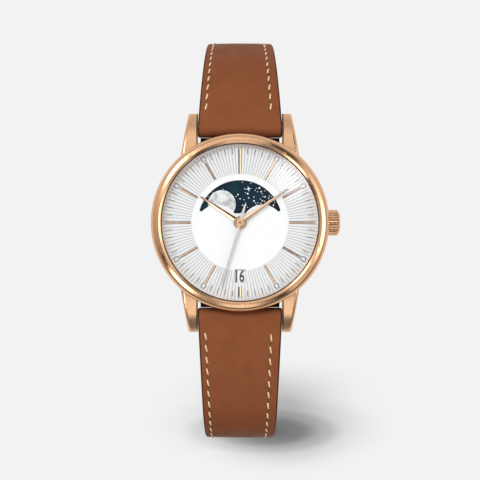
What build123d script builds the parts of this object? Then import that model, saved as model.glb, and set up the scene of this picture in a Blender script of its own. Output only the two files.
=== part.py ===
from build123d import *
import os
from math import ceil, cos, degrees, pi, radians, sin, sqrt

os.makedirs("parts", exist_ok=True)

# A ladies' moon phase wristwatch on a curved leather strap that is not buckled.
# The origin is the centre of the case back's outer face. +Z points out through the dial,
# +Y points to 12 o'clock and +X points to the crown. All sizes are millimetres.

# Case
case_radius = 16.0
case_edge_width = 0.45
case_back_margin = 1.5
case_back_radius = case_radius - case_back_margin
case_back_height = 0.9
case_back_chamfer = 0.3
case_top = 6.0
case_wall = 3.5
cavity_radius = case_radius - case_wall
back_screw_margin = 2.5
dial_seat_height = 5.2
wall_chamfer = 0.3

# Bezel, crystal and the ring under it
bezel_overhang = 0.57
bezel_radius = case_radius + bezel_overhang
bezel_height = 1.78
bezel_foot_step = 0.1
bezel_foot_radius = case_radius + bezel_foot_step
bezel_lip_height = 0.3
bezel_band_width = 1.47
crystal_inset = 2.01
crystal_radius = bezel_radius - crystal_inset
crystal_edge_height = 1.0
crystal_dome_height = 0.25
crystal_chamfer = 0.12
crystal_seat_height = 7.0
crystal_seat_thickness = 0.4
crystal_gasket_width = 0.16
crystal_gasket_height = 0.55
crystal_ledge = 0.06
dial_window_radius = crystal_radius - crystal_ledge

# Lugs and spring bars
lug_gap = 16.0
lug_base_width = 3.4
lug_tip_width = 1.76
lug_base_step = 5.5
lug_base_distance = case_radius - lug_base_step
lug_tip_reach = 2.8
lug_corner_radius = 0.45
lug_round = 0.6
lug_inner_chamfer = 0.2
lug_root_top = 5.5
lug_shoulder_top = 5.0
lug_tip_top = 1.9
lug_tip_bottom = 0.3
lug_root_bottom = 1.2
bar_step = 1.9
bar_distance = case_radius + bar_step
lug_tip_distance = bar_distance + lug_tip_reach
bar_height = 3.0
bar_radius = 0.75
bar_pin_radius = 0.4
bar_pin_length = 0.8
bar_end_gap = 0.1

# The case's sloping end walls between the lugs
end_wall_gap = 0.3
end_wall_side_gap = 0.6
end_wall_top = 5.0
end_wall_shoulder = 3.7
end_wall_slope_width = 1.3

# Dial
dial_rim = 0.2
dial_radius = dial_window_radius + dial_rim
dial_thickness = 0.4
groove_count = 132
groove_inner_radius = 9.05
groove_margin = 0.1
groove_outer_radius = dial_window_radius - groove_margin
groove_width = 0.16
groove_depth = 0.06
aperture_radius = 7.9
hump_radius = 3.89
hump_offset = 4.19
hump_drop = 0.56
aperture_floor = 1.7
aperture_floor_width = 2.6
aperture_corner_radius = 0.31
date_window_width = 2.1
date_window_height = 2.6
date_window_distance = 10.0
date_window_corner_radius = 0.15

# Applied hour markers
marker_height = 0.36
marker_side_height = 0.1
marker_width = 0.38
marker_start = 9.2
marker_margin = 1.56
marker_end = dial_window_radius - marker_margin
quarter_marker_margin = 0.5
quarter_marker_end = dial_window_radius - quarter_marker_margin
noon_marker_width = 0.55
noon_marker_start = 9.07
noon_marker_margin = 0.76
noon_marker_end = dial_window_radius - noon_marker_margin
six_marker_width = 0.7
six_marker_length = 1.9
six_marker_margin = 0.6
six_marker_end = dial_window_radius - six_marker_margin
six_marker_start = six_marker_end - six_marker_length

# Hands, at nine minutes past ten
hour_hand_length = 8.8
hour_hand_angle = 303.3
hour_hand_level = 5.98
hour_boss_radius = 1.2
minute_hand_length = 10.9
minute_hand_angle = 55.1
minute_hand_level = 6.3
minute_boss_radius = 0.84
hand_root_width = 0.8
hand_tip_width = 0.28
hand_thickness = 0.17
hand_edge_share = 0.4
second_hand_length = 12.6
second_hand_angle = 196.4
second_hand_level = 6.6
second_hand_thickness = 0.12
second_hand_root_width = 0.5
second_hand_tip_width = 0.3
second_hand_tail_length = 4.0
second_hand_tail_width = 0.5
second_boss_radius = 0.62

# Movement
movement_edge_width = 0.85
movement_radius = cavity_radius - movement_edge_width
mainplate_level = 2.9
mainplate_thickness = 0.7
pivot_radius = 0.12
running_gap = 0.03
axial_gap = 0.05
bridge_level = 1.5
bridge_thickness = 0.3
bridge_screw_radius = 0.35
bridge_screw_head_radius = 0.6
bridge_screw_head_height = 0.15
pillar_radius = 0.75
battery_radius = 3.4
battery_height = 2.1
battery_level = 1.3
battery_x = -6.1
battery_y = -5.0
battery_gap = 0.15
clamp_thickness = 0.2
bridge_arm_width = 1.5
battery_cap_height = 0.3
clamp_width = 1.6
board_thickness = 0.15
board_inner_radius = 5.4
board_edge_margin = 0.75
board_outer_radius = movement_radius - board_edge_margin
board_start_angle = -68.0
board_end_angle = -18.0
board_margin_angle = 8.0
board_post_radius = 6.3
board_level = 1.85
resonator_radius = 0.75
resonator_length = 6.0
resonator_x = 6.0
resonator_y = -7.6
resonator_turn = 35.0
coil_y = 7.4
coil_core_start = -8.0
coil_core_end = 1.3
coil_core_width = 1.0
coil_core_level = 2.1
coil_core_thickness = 0.4
coil_start = -6.2
coil_end = -0.8
coil_radius = 0.92
stator_level = 2.5
stator_thickness = 0.25
stator_leg_width = 1.1
stator_hub_radius = 1.5
rotor_magnet_radius = 0.65
rotor_magnet_height = 0.3
rotor_gap = 0.12

# Going train: teeth, modules and levels
fine_module = 0.08
third_module = 0.07
rotor_pinion_teeth = 10
fifth_wheel_teeth = 50
fifth_pinion_teeth = 10
second_wheel_teeth = 60
second_pinion_teeth = 10
third_wheel_teeth = 75
third_pinion_teeth = 10
centre_wheel_teeth = 80
wheel_thickness = 0.15
pinion_thickness = 0.3
second_wheel_level = 1.9
third_wheel_level = 2.2
centre_wheel_level = 2.6
third_angle = 60.0
fifth_angle = 185.0
rotor_angle = 140.0

# Motion works on the dial side
motion_module = 0.1
cannon_teeth = 12
minute_wheel_teeth = 36
minute_pinion_teeth = 10
hour_wheel_teeth = 40
calendar_wheel_teeth = 80
setting_wheel_teeth = 16
motion_level = 3.75
hour_wheel_level = 4.12
motion_thickness = 0.28
minute_wheel_angle = 0.0
calendar_angle = 300.0
second_arbor_radius = 0.3
cannon_bore_radius = 0.36
cannon_radius = 0.68
hour_pipe_bore_radius = 0.72
hour_pipe_radius = 0.95
stud_radius = 0.3

# Calendar
date_disc_level = 4.65
date_disc_thickness = 0.25
date_disc_inner_radius = 8.6
date_disc_margin = 1.2
date_disc_outer_radius = cavity_radius - date_disc_margin
date_tooth_count = 31
date_tooth_height = 0.35
moon_disc_level = 4.95
moon_disc_thickness = 0.2
moon_disc_radius = 8.2
moon_radius = 2.6
moon_path_radius = 4.84
moon_angle = 134.6
moon_inlay_thickness = 0.04
moon_hub_radius = 3.3
moon_tooth_count = 59
moon_tooth_height = 0.22
moon_bore_radius = 1.0
finger_length = 2.7
finger_width = 0.35
calendar_plate_level = 4.3
calendar_plate_inner_radius = 8.9
jumper_width = 0.22
jumper_foot_radius = 0.45
date_jumper_foot_angle = 100.0
date_jumper_foot_radius = 6.2
date_jumper_tip_angle = 66.0
moon_jumper_foot_radius = 6.6
moon_jumper_foot_angle = 160.0
moon_jumper_tip_angle = 125.0
holder_gap = 0.1

date_jumper_mid_radius = 7.6
date_jumper_neck_radius = 7.9
moon_jumper_mid_radius = 5.4
moon_jumper_neck_radius = 4.2
finger_hub_radius = 0.7
calendar_pocket_radius = 4.05
lever_pocket_length = 5.4
lever_pocket_width = 4.4

# Crown, stem and setting works
stem_height = 3.4
stem_radius = 0.4
stem_end = 6.1
crown_radius = 2.415
crown_gap = 0.2
crown_start = case_radius + crown_gap
crown_length = 2.5
crown_end = crown_start + crown_length
crown_cap_length = 0.53
crown_cap_slope = 1.2
crown_flute_count = 32
crown_flute_radius = 0.17
crown_bore_radius = 1.1
crown_bore_depth = 1.9
crown_gasket_length = 0.5
tube_radius = 0.75
tube_bore_radius = 0.46
tube_start = cavity_radius + holder_gap
tube_stand_out = 2.0
sliding_pinion_start = 6.4
sliding_pinion_length = 1.5
sliding_pinion_radius = 0.8
sliding_pinion_groove_radius = 0.5
sliding_pinion_groove_width = 0.5
sliding_pinion_teeth = 12
stem_square = 0.5
lever_groove_x = 8.7
lever_groove_width = 0.7
lever_groove_radius = 0.22
lever_arm = 3.0
lever_pin_radius = 0.2
lever_level = 3.9
lever_thickness = 0.2
lever_width = 0.6
yoke_foot_x = 6.6
yoke_foot_y = 4.0

# Strap
strap_side_gap = 0.1
strap_width = lug_gap - 2 * strap_side_gap
strap_end_width = 12.0
strap_taper_power = 2.2
leather_thickness = 1.7
leather_end_thickness = 1.3
lining_thickness = 0.8
eye_gap = 0.08
strap_edge_radius = 0.45
upper_angles = [20.0, 90.0, 180.0]
upper_radii = [28.0, 19.0]
upper_tail = 6.0
lower_angles = [4.0, 24.0, 90.0, 180.0]
lower_radii = [46.5, 13.3, 29.4]
lower_tail = 11.0
station_step = 3.0
hole_radius = 0.8
hole_count = 7
hole_pitch = 6.0
hole_tip_distance = 18.0

# Buckle and keepers
buckle_bar_radius = 0.6
tongue_eye_radius = 1.05
buckle_width = 15.6
buckle_wire = 1.5
buckle_height = 1.9
buckle_front_length = 7.4
buckle_side_gap = 0.2
tongue_width = 1.5
tongue_thickness = 0.9
tongue_slot_width = 2.3
tongue_slot_length = 2.3
buckle_corner_radius = 2.4
buckle_edge_radius = 0.35
buckle_ear_length = 1.1
keeper_thickness = 0.7
keeper_length = 3.6
keeper_gap = 0.05
fixed_keeper_distance = 4.2
sliding_keeper_gap = 0.2
sliding_keeper_angle = 140.0
sliding_keeper_reach = 36.0

# Gear teeth: depth below and above the pitch circle per module, half widths per pitch
tooth_root_share = 1.25
tooth_tip_share = 0.85
tooth_foot_share = 0.3
tooth_point_share = 0.1

# An overrun that lets cuts pass their far side
overrun = 0.5


def gear_points(teeth, module, phase):
    """The outline of a small watch gear whose first tooth points along the phase angle."""
    root = module * (teeth / 2 - tooth_root_share)
    tip = module * (teeth / 2 + tooth_tip_share)
    pitch_angle = 2 * pi / teeth
    points = []
    for tooth in range(teeth):
        middle = radians(phase) + tooth * pitch_angle
        for radius, share in (
            (root, -tooth_foot_share),
            (tip, -tooth_point_share),
            (tip, tooth_point_share),
            (root, tooth_foot_share),
        ):
            angle = middle + share * pitch_angle
            points.append((radius * cos(angle), radius * sin(angle)))
    return points


def meshing_phase(driver_teeth, driver_phase, teeth, direction):
    """The phase that meshes a gear with its driver, which lies back against the direction."""
    lead = (driver_phase - direction) % (360 / driver_teeth)
    return direction + 180 + 180 / teeth - lead * driver_teeth / teeth


def polar(radius, angle):
    return (radius * cos(radians(angle)), radius * sin(radians(angle)))


def centre_distance(teeth_a, teeth_b, module):
    return module * (teeth_a + teeth_b) / 2


def clock_direction(angle):
    """The angle from +X of a direction given clockwise from 12 o'clock."""
    return 90 - angle


# Axes of the going train
third_distance = centre_distance(second_pinion_teeth, third_wheel_teeth, third_module)
centre_module = 2 * third_distance / (third_pinion_teeth + centre_wheel_teeth)
fifth_distance = centre_distance(second_wheel_teeth, fifth_pinion_teeth, fine_module)
rotor_distance = centre_distance(fifth_wheel_teeth, rotor_pinion_teeth, fine_module)
third_x, third_y = polar(third_distance, third_angle)
fifth_x, fifth_y = polar(fifth_distance, fifth_angle)
rotor_step_x, rotor_step_y = polar(rotor_distance, rotor_angle)
rotor_x = fifth_x + rotor_step_x
rotor_y = fifth_y + rotor_step_y

# Axes of the motion works
minute_distance = centre_distance(cannon_teeth, minute_wheel_teeth, motion_module)
hour_module = 2 * minute_distance / (minute_pinion_teeth + hour_wheel_teeth)
minute_x, minute_y = polar(minute_distance, minute_wheel_angle)
calendar_distance = centre_distance(hour_wheel_teeth, calendar_wheel_teeth, hour_module)
calendar_x, calendar_y = polar(calendar_distance, calendar_angle)
setting_x = minute_x + centre_distance(minute_wheel_teeth, setting_wheel_teeth, motion_module)
setting_y = minute_y

# Levels that follow from the stack
mainplate_top = mainplate_level + mainplate_thickness
bridge_top = bridge_level + bridge_thickness
dial_top = dial_seat_height + dial_thickness
bezel_top = case_top + bezel_height
bezel_bore_radius = crystal_radius + crystal_gasket_width
pivot_bottom = bridge_level + axial_gap
pivot_top = mainplate_level + mainplate_thickness / 2
date_disc_top = date_disc_level + date_disc_thickness
moon_disc_top = moon_disc_level + moon_disc_thickness
screw_x_y = [(4.9, 5.6), (-7.4, 0.6), (1.2, -3.9)]
back_screw_radius = case_radius - back_screw_margin
tube_end = case_radius + tube_stand_out
crown_bore_end = crown_start + crown_bore_depth
lever_pivot_y = -lever_arm
board_arc = board_end_angle - board_start_angle + 2 * board_margin_angle
clamp_foot = (fifth_x, fifth_y)
finger_top = date_disc_top - axial_gap
calendar_stud_top = hour_wheel_level + motion_thickness + axial_gap
date_foot_x, date_foot_y = polar(date_jumper_foot_radius, date_jumper_foot_angle)
moon_foot_x, moon_foot_y = polar(moon_jumper_foot_radius, moon_jumper_foot_angle)
date_phase = date_jumper_tip_angle + 180 / date_tooth_count
moon_phase = moon_jumper_tip_angle + 180 / moon_tooth_count


def ring(outer, inner, low, high):
    """A plain ring around the Z axis, made in the part builder that is open."""
    with BuildSketch(Plane.XY.offset(low)) as section:
        Circle(outer)
        Circle(inner, mode=Mode.SUBTRACT)
    extrude(section.sketch, amount=high - low)


def arbor(x, y, steps):
    """A turned arbor on its own axis, from (low, high, radius) steps."""
    for low, high, radius in steps:
        with BuildSketch(Plane.XY.offset(low)) as section:
            with Locations((x, y)):
                Circle(radius)
        extrude(section.sketch, amount=high - low)


def toothed_wheel(x, y, teeth, module, phase, low, thickness):
    """A toothed wheel or pinion around an axis, made in the part builder that is open."""
    with BuildSketch(Plane.XY.offset(low)) as section:
        with Locations((x, y)):
            Polygon(gear_points(teeth, module, phase))
    extrude(section.sketch, amount=thickness)


def bore(x, y, radius, low, high):
    """A round hole along Z through the part builder that is open."""
    with BuildSketch(Plane.XY.offset(low)) as section:
        with Locations((x, y)):
            Circle(radius)
    extrude(section.sketch, amount=high - low, mode=Mode.SUBTRACT)


def is_long_top(edge):
    """Whether an edge of the lug runs along its top."""
    runs_outward = abs((edge @ 1 - edge @ 0).Y) > lug_tip_width
    return edge.center().Z > lug_shoulder_top - 2 * lug_inner_chamfer and runs_outward


# The mid case, a turned ring with four lugs and a sloping wall between each pair
with BuildPart() as lug:
    with BuildSketch():
        with BuildLine():
            Polyline(
                (lug_gap / 2, case_radius / 2),
                (lug_gap / 2 + lug_base_width, case_radius / 2),
                (lug_gap / 2 + lug_base_width, lug_base_distance),
                (lug_gap / 2 + lug_tip_width, lug_tip_distance),
                (lug_gap / 2, lug_tip_distance),
                close=True,
            )
        make_face()
    extrude(amount=case_top)
    with BuildSketch(Plane.YZ):
        with BuildLine():
            Line((case_radius / 2, lug_root_bottom), (case_radius / 2, lug_root_top))
            Line((case_radius / 2, lug_root_top), (lug_base_distance, lug_root_top))
            ThreePointArc(
                (lug_base_distance, lug_root_top),
                ((lug_base_distance + lug_tip_distance) / 2 + lug_tip_bottom, lug_shoulder_top),
                (lug_tip_distance, lug_tip_top),
            )
            Line((lug_tip_distance, lug_tip_top), (lug_tip_distance, lug_tip_bottom))
            Line((lug_tip_distance, lug_tip_bottom), (bar_distance, lug_tip_bottom))
            Line((bar_distance, lug_tip_bottom), (lug_base_distance, case_back_height))
            Line((lug_base_distance, case_back_height), (case_radius / 2, lug_root_bottom))
        make_face()
    extrude(amount=lug_tip_distance, both=True, mode=Mode.INTERSECT)
    outer_edges = lug.edges().filter_by(lambda edge: edge.center().X > lug_gap / 2 + lug_tip_width)
    fillet(outer_edges.filter_by(is_long_top), lug_round)
    inner_edges = lug.edges().filter_by(lambda edge: edge.center().X < lug_gap / 2 + lug_inner_chamfer)
    chamfer(inner_edges.filter_by(is_long_top), lug_inner_chamfer)
    fillet(
        lug.edges().filter_by(Axis.Z).group_by(Axis.Y)[-1].sort_by(Axis.X)[-1],
        lug_corner_radius,
    )

with BuildPart() as end_wall:
    end_wall_distance = bar_distance - leather_thickness - end_wall_gap
    with BuildSketch(Plane.YZ) as wall_section:
        Polygon(
            (lug_base_distance, case_back_height),
            (end_wall_distance, case_back_height),
            (end_wall_distance, end_wall_shoulder),
            (end_wall_distance - end_wall_slope_width, end_wall_top),
            (lug_base_distance, end_wall_top),
            align=None,
        )
    extrude(wall_section.sketch, amount=lug_gap / 2 - end_wall_side_gap, both=True)

with BuildPart() as mid_case:
    with BuildSketch(Plane.XZ):
        with BuildLine():
            Polyline(
                (cavity_radius, case_back_height),
                (case_radius - case_edge_width, case_back_height),
                (case_radius, case_back_height + case_edge_width),
                (case_radius, case_top - wall_chamfer),
                (case_radius - wall_chamfer, case_top),
                (bezel_bore_radius + running_gap, case_top),
                (bezel_bore_radius + running_gap, dial_seat_height),
                (cavity_radius, dial_seat_height),
                close=True,
            )
        make_face()
    revolve(axis=Axis.Z)
    for side_x in (0, 1):
        for side_y in (0, 1):
            corner = lug.part
            if side_x:
                corner = corner.mirror(Plane.YZ)
            if side_y:
                corner = corner.mirror(Plane.XZ)
            add(corner)
    add(end_wall.part)
    add(end_wall.part.mirror(Plane.XZ))
    with BuildSketch(Plane.XY.offset(case_back_height)):
        Circle(cavity_radius)
    extrude(amount=case_top - case_back_height, mode=Mode.SUBTRACT)
    with BuildSketch(Plane.XY.offset(dial_seat_height)):
        Circle(bezel_bore_radius + running_gap)
    extrude(amount=case_top - dial_seat_height + overrun, mode=Mode.SUBTRACT)
    with BuildSketch(Plane.YZ.offset(-lug_gap / 2 - bar_pin_length - bar_end_gap)):
        with Locations((bar_distance, bar_height), (-bar_distance, bar_height)):
            Circle(bar_pin_radius + running_gap)
    extrude(amount=lug_gap + 2 * (bar_pin_length + bar_end_gap), mode=Mode.SUBTRACT)
    with BuildSketch(Plane.YZ):
        with Locations((0, stem_height)):
            Circle(tube_radius)
    extrude(amount=case_radius + overrun, mode=Mode.SUBTRACT)
    with BuildSketch(Plane.XY.offset(case_back_height)):
        Circle(cavity_radius + case_edge_width)
        Circle(cavity_radius, mode=Mode.SUBTRACT)
    extrude(amount=case_edge_width, mode=Mode.SUBTRACT)
    with BuildSketch(Plane.XY.offset(case_back_height)):
        with PolarLocations(back_screw_radius, 4, start_angle=45):
            Circle(bar_pin_radius)
    extrude(amount=case_back_height, mode=Mode.SUBTRACT)
mid_case.part.label = "mid_case"
export_step(mid_case.part, "parts/mid_case.step")

# The bezel, a convex polished ring with an inner bevel and a ledge for the crystal
with BuildPart() as bezel:
    with BuildSketch(Plane.XZ):
        with BuildLine():
            Polyline(
                (bezel_radius, case_top + 2 * bezel_lip_height),
                (bezel_radius, case_top + bezel_lip_height),
                (bezel_foot_radius, case_top),
                (bezel_bore_radius + running_gap, case_top),
                (bezel_bore_radius + running_gap, crystal_seat_height - crystal_seat_thickness),
                (dial_window_radius, crystal_seat_height - crystal_seat_thickness),
                (dial_window_radius, crystal_seat_height),
                (bezel_bore_radius, crystal_seat_height),
                (bezel_bore_radius, crystal_seat_height + crystal_gasket_height),
                (bezel_radius - bezel_band_width, bezel_top),
            )
            ThreePointArc(
                (bezel_radius - bezel_band_width, bezel_top),
                (bezel_radius - bezel_band_width / 3, bezel_top - bezel_band_width / 4),
                (bezel_radius, case_top + 2 * bezel_lip_height),
            )
        make_face()
    revolve(axis=Axis.Z)
bezel.part.label = "bezel"
export_step(bezel.part, "parts/bezel.step")

# The crystal, slightly domed
with BuildPart() as crystal:
    with BuildSketch(Plane.XZ):
        with BuildLine():
            edge_top = crystal_seat_height + crystal_edge_height
            Line((0, crystal_seat_height), (crystal_radius, crystal_seat_height))
            Line((crystal_radius, crystal_seat_height), (crystal_radius, edge_top - crystal_chamfer))
            Line((crystal_radius, edge_top - crystal_chamfer), (crystal_radius - crystal_chamfer, edge_top))
            crown_rise = crystal_dome_height
            half_chord = crystal_radius - crystal_chamfer
            dome_radius = (half_chord ** 2 + crown_rise ** 2) / (2 * crown_rise)
            half_x = half_chord / 2
            half_z = edge_top + crown_rise - dome_radius + sqrt(dome_radius ** 2 - half_x ** 2)
            ThreePointArc((half_chord, edge_top), (half_x, half_z), (0, edge_top + crown_rise))
            Line((0, edge_top + crown_rise), (0, crystal_seat_height))
        make_face()
    revolve(axis=Axis.Z)
crystal.part.label = "crystal"
export_step(crystal.part, "parts/crystal.step")

# The ring that seals the crystal in the bezel
with BuildPart() as crystal_gasket:
    gasket_top = crystal_seat_height + crystal_gasket_height
    ring(bezel_bore_radius, crystal_radius, crystal_seat_height, gasket_top)
crystal_gasket.part.label = "crystal_gasket"
export_step(crystal_gasket.part, "parts/crystal_gasket.step")

# The spacer ring that holds the dial down under the bezel's ledge
with BuildPart() as dial_ring:
    ring(bezel_bore_radius, dial_window_radius, dial_top, crystal_seat_height - crystal_seat_thickness)
dial_ring.part.label = "dial_ring"
export_step(dial_ring.part, "parts/dial_ring.step")

# The case back: a flanged lid with a spigot inside and countersunk screw holes
with BuildPart() as case_back:
    with BuildSketch():
        Circle(case_back_radius)
    extrude(amount=case_back_height)
    chamfer(case_back.edges().group_by(Axis.Z)[0], case_back_chamfer)
    spigot_top = case_back_height + case_edge_width
    spigot_radius = cavity_radius - holder_gap
    ring(spigot_radius, spigot_radius - case_edge_width, case_back_height, spigot_top)
    with Locations(Plane.XY.rotated((180, 0, 0))):
        with PolarLocations(back_screw_radius, 4, start_angle=45):
            CounterSinkHole(bar_pin_radius, tube_radius, depth=case_back_height, counter_sink_angle=90)
case_back.part.label = "case_back"
export_step(case_back.part, "parts/case_back.step")

# The ring that seals the case back
with BuildPart() as case_back_gasket:
    seal_top = case_back_height + case_edge_width
    ring(cavity_radius + case_edge_width, cavity_radius, case_back_height, seal_top)
case_back_gasket.part.label = "case_back_gasket"
export_step(case_back_gasket.part, "parts/case_back_gasket.step")

# Four countersunk slotted screws hold the case back
with BuildPart() as case_back_screws:
    with BuildSketch():
        with PolarLocations(back_screw_radius, 4, start_angle=45):
            Circle(bar_pin_radius)
    extrude(amount=2 * case_back_height)
    with BuildSketch():
        with PolarLocations(back_screw_radius, 4, start_angle=45):
            Circle(tube_radius)
    extrude(amount=tube_radius - bar_pin_radius, taper=45)
    with BuildSketch():
        with PolarLocations(back_screw_radius, 4, start_angle=45):
            Rectangle(tube_radius / 4, 2 * tube_radius)
    extrude(amount=pivot_radius, mode=Mode.SUBTRACT)
case_back_screws.part.label = "case_back_screws"
export_step(case_back_screws.part, "parts/case_back_screws.step")

# The plastic ring that centres the movement in the case
with BuildPart() as movement_holder:
    ring(
        cavity_radius - holder_gap,
        movement_radius + holder_gap,
        case_back_height + case_edge_width,
        dial_seat_height,
    )
    with BuildSketch(Plane.YZ):
        with Locations((0, stem_height)):
            Circle(tube_radius + holder_gap)
    extrude(amount=case_radius, mode=Mode.SUBTRACT)
movement_holder.part.label = "movement_holder"
export_step(movement_holder.part, "parts/movement_holder.step")

# The tube pressed into the case that guides the crown's stem
with BuildPart() as crown_tube:
    with BuildSketch(Plane.YZ.offset(tube_start)):
        with Locations((0, stem_height)):
            Circle(tube_radius)
            Circle(tube_bore_radius, mode=Mode.SUBTRACT)
    extrude(amount=tube_end - tube_start)
crown_tube.part.label = "crown_tube"
export_step(crown_tube.part, "parts/crown_tube.step")

# The crown: a ribbed knob with a domed end and a blind bore over the tube
with BuildPart() as crown:
    with BuildSketch(Plane.YZ.offset(crown_start)):
        with Locations((0, stem_height)):
            Circle(crown_radius)
    extrude(amount=crown_end - crown_start)
    chamfer(crown.faces().sort_by(Axis.X)[-1].edges(), crown_cap_length, crown_cap_length * crown_cap_slope)
    with BuildSketch(Plane.YZ.offset(crown_start)):
        with Locations((0, stem_height)):
            with PolarLocations(crown_radius + crown_flute_radius / 2, crown_flute_count):
                Circle(crown_flute_radius)
    extrude(amount=crown_end - crown_start - crown_cap_length, mode=Mode.SUBTRACT)
    with BuildSketch(Plane.YZ.offset(crown_start)):
        with Locations((0, stem_height)):
            Circle(crown_bore_radius)
    extrude(amount=crown_bore_depth, mode=Mode.SUBTRACT)
    with BuildSketch(Plane.YZ.offset(crown_bore_end)):
        with Locations((0, stem_height)):
            Circle(stem_radius)
    extrude(amount=(crown_end - crown_bore_end) / 2, mode=Mode.SUBTRACT)
crown.part.label = "crown"
export_step(crown.part, "parts/crown.step")

# The seal inside the crown that runs on the tube
with BuildPart() as crown_gasket:
    with BuildSketch(Plane.YZ.offset(crown_start)):
        with Locations((0, stem_height)):
            Circle(crown_bore_radius)
            Circle(tube_radius + running_gap, mode=Mode.SUBTRACT)
    extrude(amount=crown_gasket_length)
crown_gasket.part.label = "crown_gasket"
export_step(crown_gasket.part, "parts/crown_gasket.step")

# The stem: round with a groove for the lever and a square end inside the sliding pinion
with BuildPart() as winding_stem:
    with BuildSketch(Plane.YZ.offset(lever_groove_x - lever_groove_width)):
        with Locations((0, stem_height)):
            Circle(stem_radius)
    extrude(amount=(crown_bore_end + crown_end) / 2 - lever_groove_x + lever_groove_width)
    with BuildSketch(Plane.YZ.offset(lever_groove_x - lever_groove_width / 2)):
        with Locations((0, stem_height)):
            Circle(stem_radius)
            Circle(lever_groove_radius, mode=Mode.SUBTRACT)
    extrude(amount=lever_groove_width, mode=Mode.SUBTRACT)
    with BuildSketch(Plane.YZ.offset(stem_end)):
        with Locations((0, stem_height)):
            Rectangle(stem_square, stem_square)
    extrude(amount=lever_groove_x - lever_groove_width - stem_end)
winding_stem.part.label = "winding_stem"
export_step(winding_stem.part, "parts/winding_stem.step")

# The sliding pinion: end teeth, a groove for the yoke and a square bore
with BuildPart() as sliding_pinion:
    with BuildSketch(Plane.YZ.offset(sliding_pinion_start)):
        with Locations((0, stem_height)):
            Circle(sliding_pinion_radius)
    extrude(amount=sliding_pinion_length)
    groove_start = sliding_pinion_start + (sliding_pinion_length - sliding_pinion_groove_width) / 2
    with BuildSketch(Plane.YZ.offset(groove_start)):
        with Locations((0, stem_height)):
            Circle(sliding_pinion_radius + overrun)
            Circle(sliding_pinion_groove_radius, mode=Mode.SUBTRACT)
    extrude(amount=sliding_pinion_groove_width, mode=Mode.SUBTRACT)
    with BuildSketch(Plane.YZ.offset(sliding_pinion_start)):
        with Locations((0, stem_height)):
            with PolarLocations(sliding_pinion_radius, sliding_pinion_teeth):
                Rectangle(sliding_pinion_radius / 2, sliding_pinion_radius / 5)
    extrude(amount=sliding_pinion_groove_width / 2, mode=Mode.SUBTRACT)
    with BuildSketch(Plane.YZ.offset(sliding_pinion_start)):
        with Locations((0, stem_height)):
            Rectangle(stem_square + 2 * running_gap, stem_square + 2 * running_gap)
    extrude(amount=sliding_pinion_length, mode=Mode.SUBTRACT)
sliding_pinion.part.label = "sliding_pinion"
export_step(sliding_pinion.part, "parts/sliding_pinion.step")

# The dial: radial grooves, the moon aperture, the date window and the centre hole
with BuildPart() as dial:
    with BuildSketch(Plane.XY.offset(dial_seat_height)):
        Circle(dial_radius)
        Circle(moon_bore_radius, mode=Mode.SUBTRACT)
        with Locations((0, -date_window_distance)):
            RectangleRounded(
                date_window_width, date_window_height, date_window_corner_radius, mode=Mode.SUBTRACT
            )
    extrude(amount=dial_thickness)
    with BuildSketch(Plane.XY.offset(dial_seat_height)) as aperture:
        Circle(aperture_radius)
        with Locations((0, -aperture_radius / 2)):
            Rectangle(3 * aperture_radius, aperture_radius, mode=Mode.SUBTRACT)
        with Locations((-hump_offset, -hump_drop), (hump_offset, -hump_drop)):
            Circle(hump_radius, mode=Mode.SUBTRACT)
        with Locations((0, aperture_floor / 2)):
            Rectangle(2 * aperture_floor_width, aperture_floor, mode=Mode.SUBTRACT)
        fillet(aperture.vertices().group_by(Axis.Y)[0], aperture_corner_radius)
    extrude(amount=dial_thickness, mode=Mode.SUBTRACT)
    groove_middle = (groove_inner_radius + groove_outer_radius) / 2
    with BuildSketch(Plane.XY.offset(dial_top - groove_depth)):
        with PolarLocations(groove_middle, groove_count, start_angle=90 + 180 / groove_count):
            Rectangle(groove_outer_radius - groove_inner_radius, groove_width)
        with Locations((0, -date_window_distance)):
            Rectangle(
                date_window_width + 2 * groove_width,
                date_window_height + 2 * groove_width,
                mode=Mode.SUBTRACT,
            )
    extrude(amount=groove_depth, mode=Mode.SUBTRACT)
dial.part.label = "dial"
export_step(dial.part, "parts/dial.step")

# The applied markers: two-facet batons that stand on the dial
with BuildPart() as hour_markers:
    for hour in range(12):
        width, start, end = marker_width, marker_start, marker_end
        if hour in (3, 9):
            end = quarter_marker_end
        if hour == 0:
            width, start, end = noon_marker_width, noon_marker_start, noon_marker_end
        if hour == 6:
            width, start, end = six_marker_width, six_marker_start, six_marker_end
        direction = clock_direction(30 * hour)
        along = Vector(cos(radians(direction)), sin(radians(direction)), 0)
        across = Vector(-along.Y, along.X, 0)
        foot = along * start + Vector(0, 0, dial_top)
        with BuildSketch(Plane(origin=foot, x_dir=across, z_dir=along)):
            Polygon(
                (-width / 2, 0),
                (width / 2, 0),
                (width / 2, marker_side_height),
                (0, marker_height),
                (-width / 2, marker_side_height),
            )
        extrude(amount=end - start)
hour_markers.part.label = "hour_markers"
export_step(hour_markers.part, "parts/hour_markers.step")


def facet_section(width, height):
    """The five-sided section of a two-facet hand, in the sketch builder that is open."""
    Polygon(
        (-width / 2, 0),
        (width / 2, 0),
        (width / 2, hand_edge_share * height),
        (0, height),
        (-width / 2, hand_edge_share * height),
    )


def hand_plane(clock_angle, distance, level):
    """A plane across a hand at a distance from the centre, with its Y axis up."""
    direction = clock_direction(clock_angle)
    along = Vector(cos(radians(direction)), sin(radians(direction)), 0)
    across = Vector(along.Y, -along.X, 0) * -1
    foot = along * distance + Vector(0, 0, level)
    return Plane(origin=foot, x_dir=across, z_dir=along)


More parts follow.
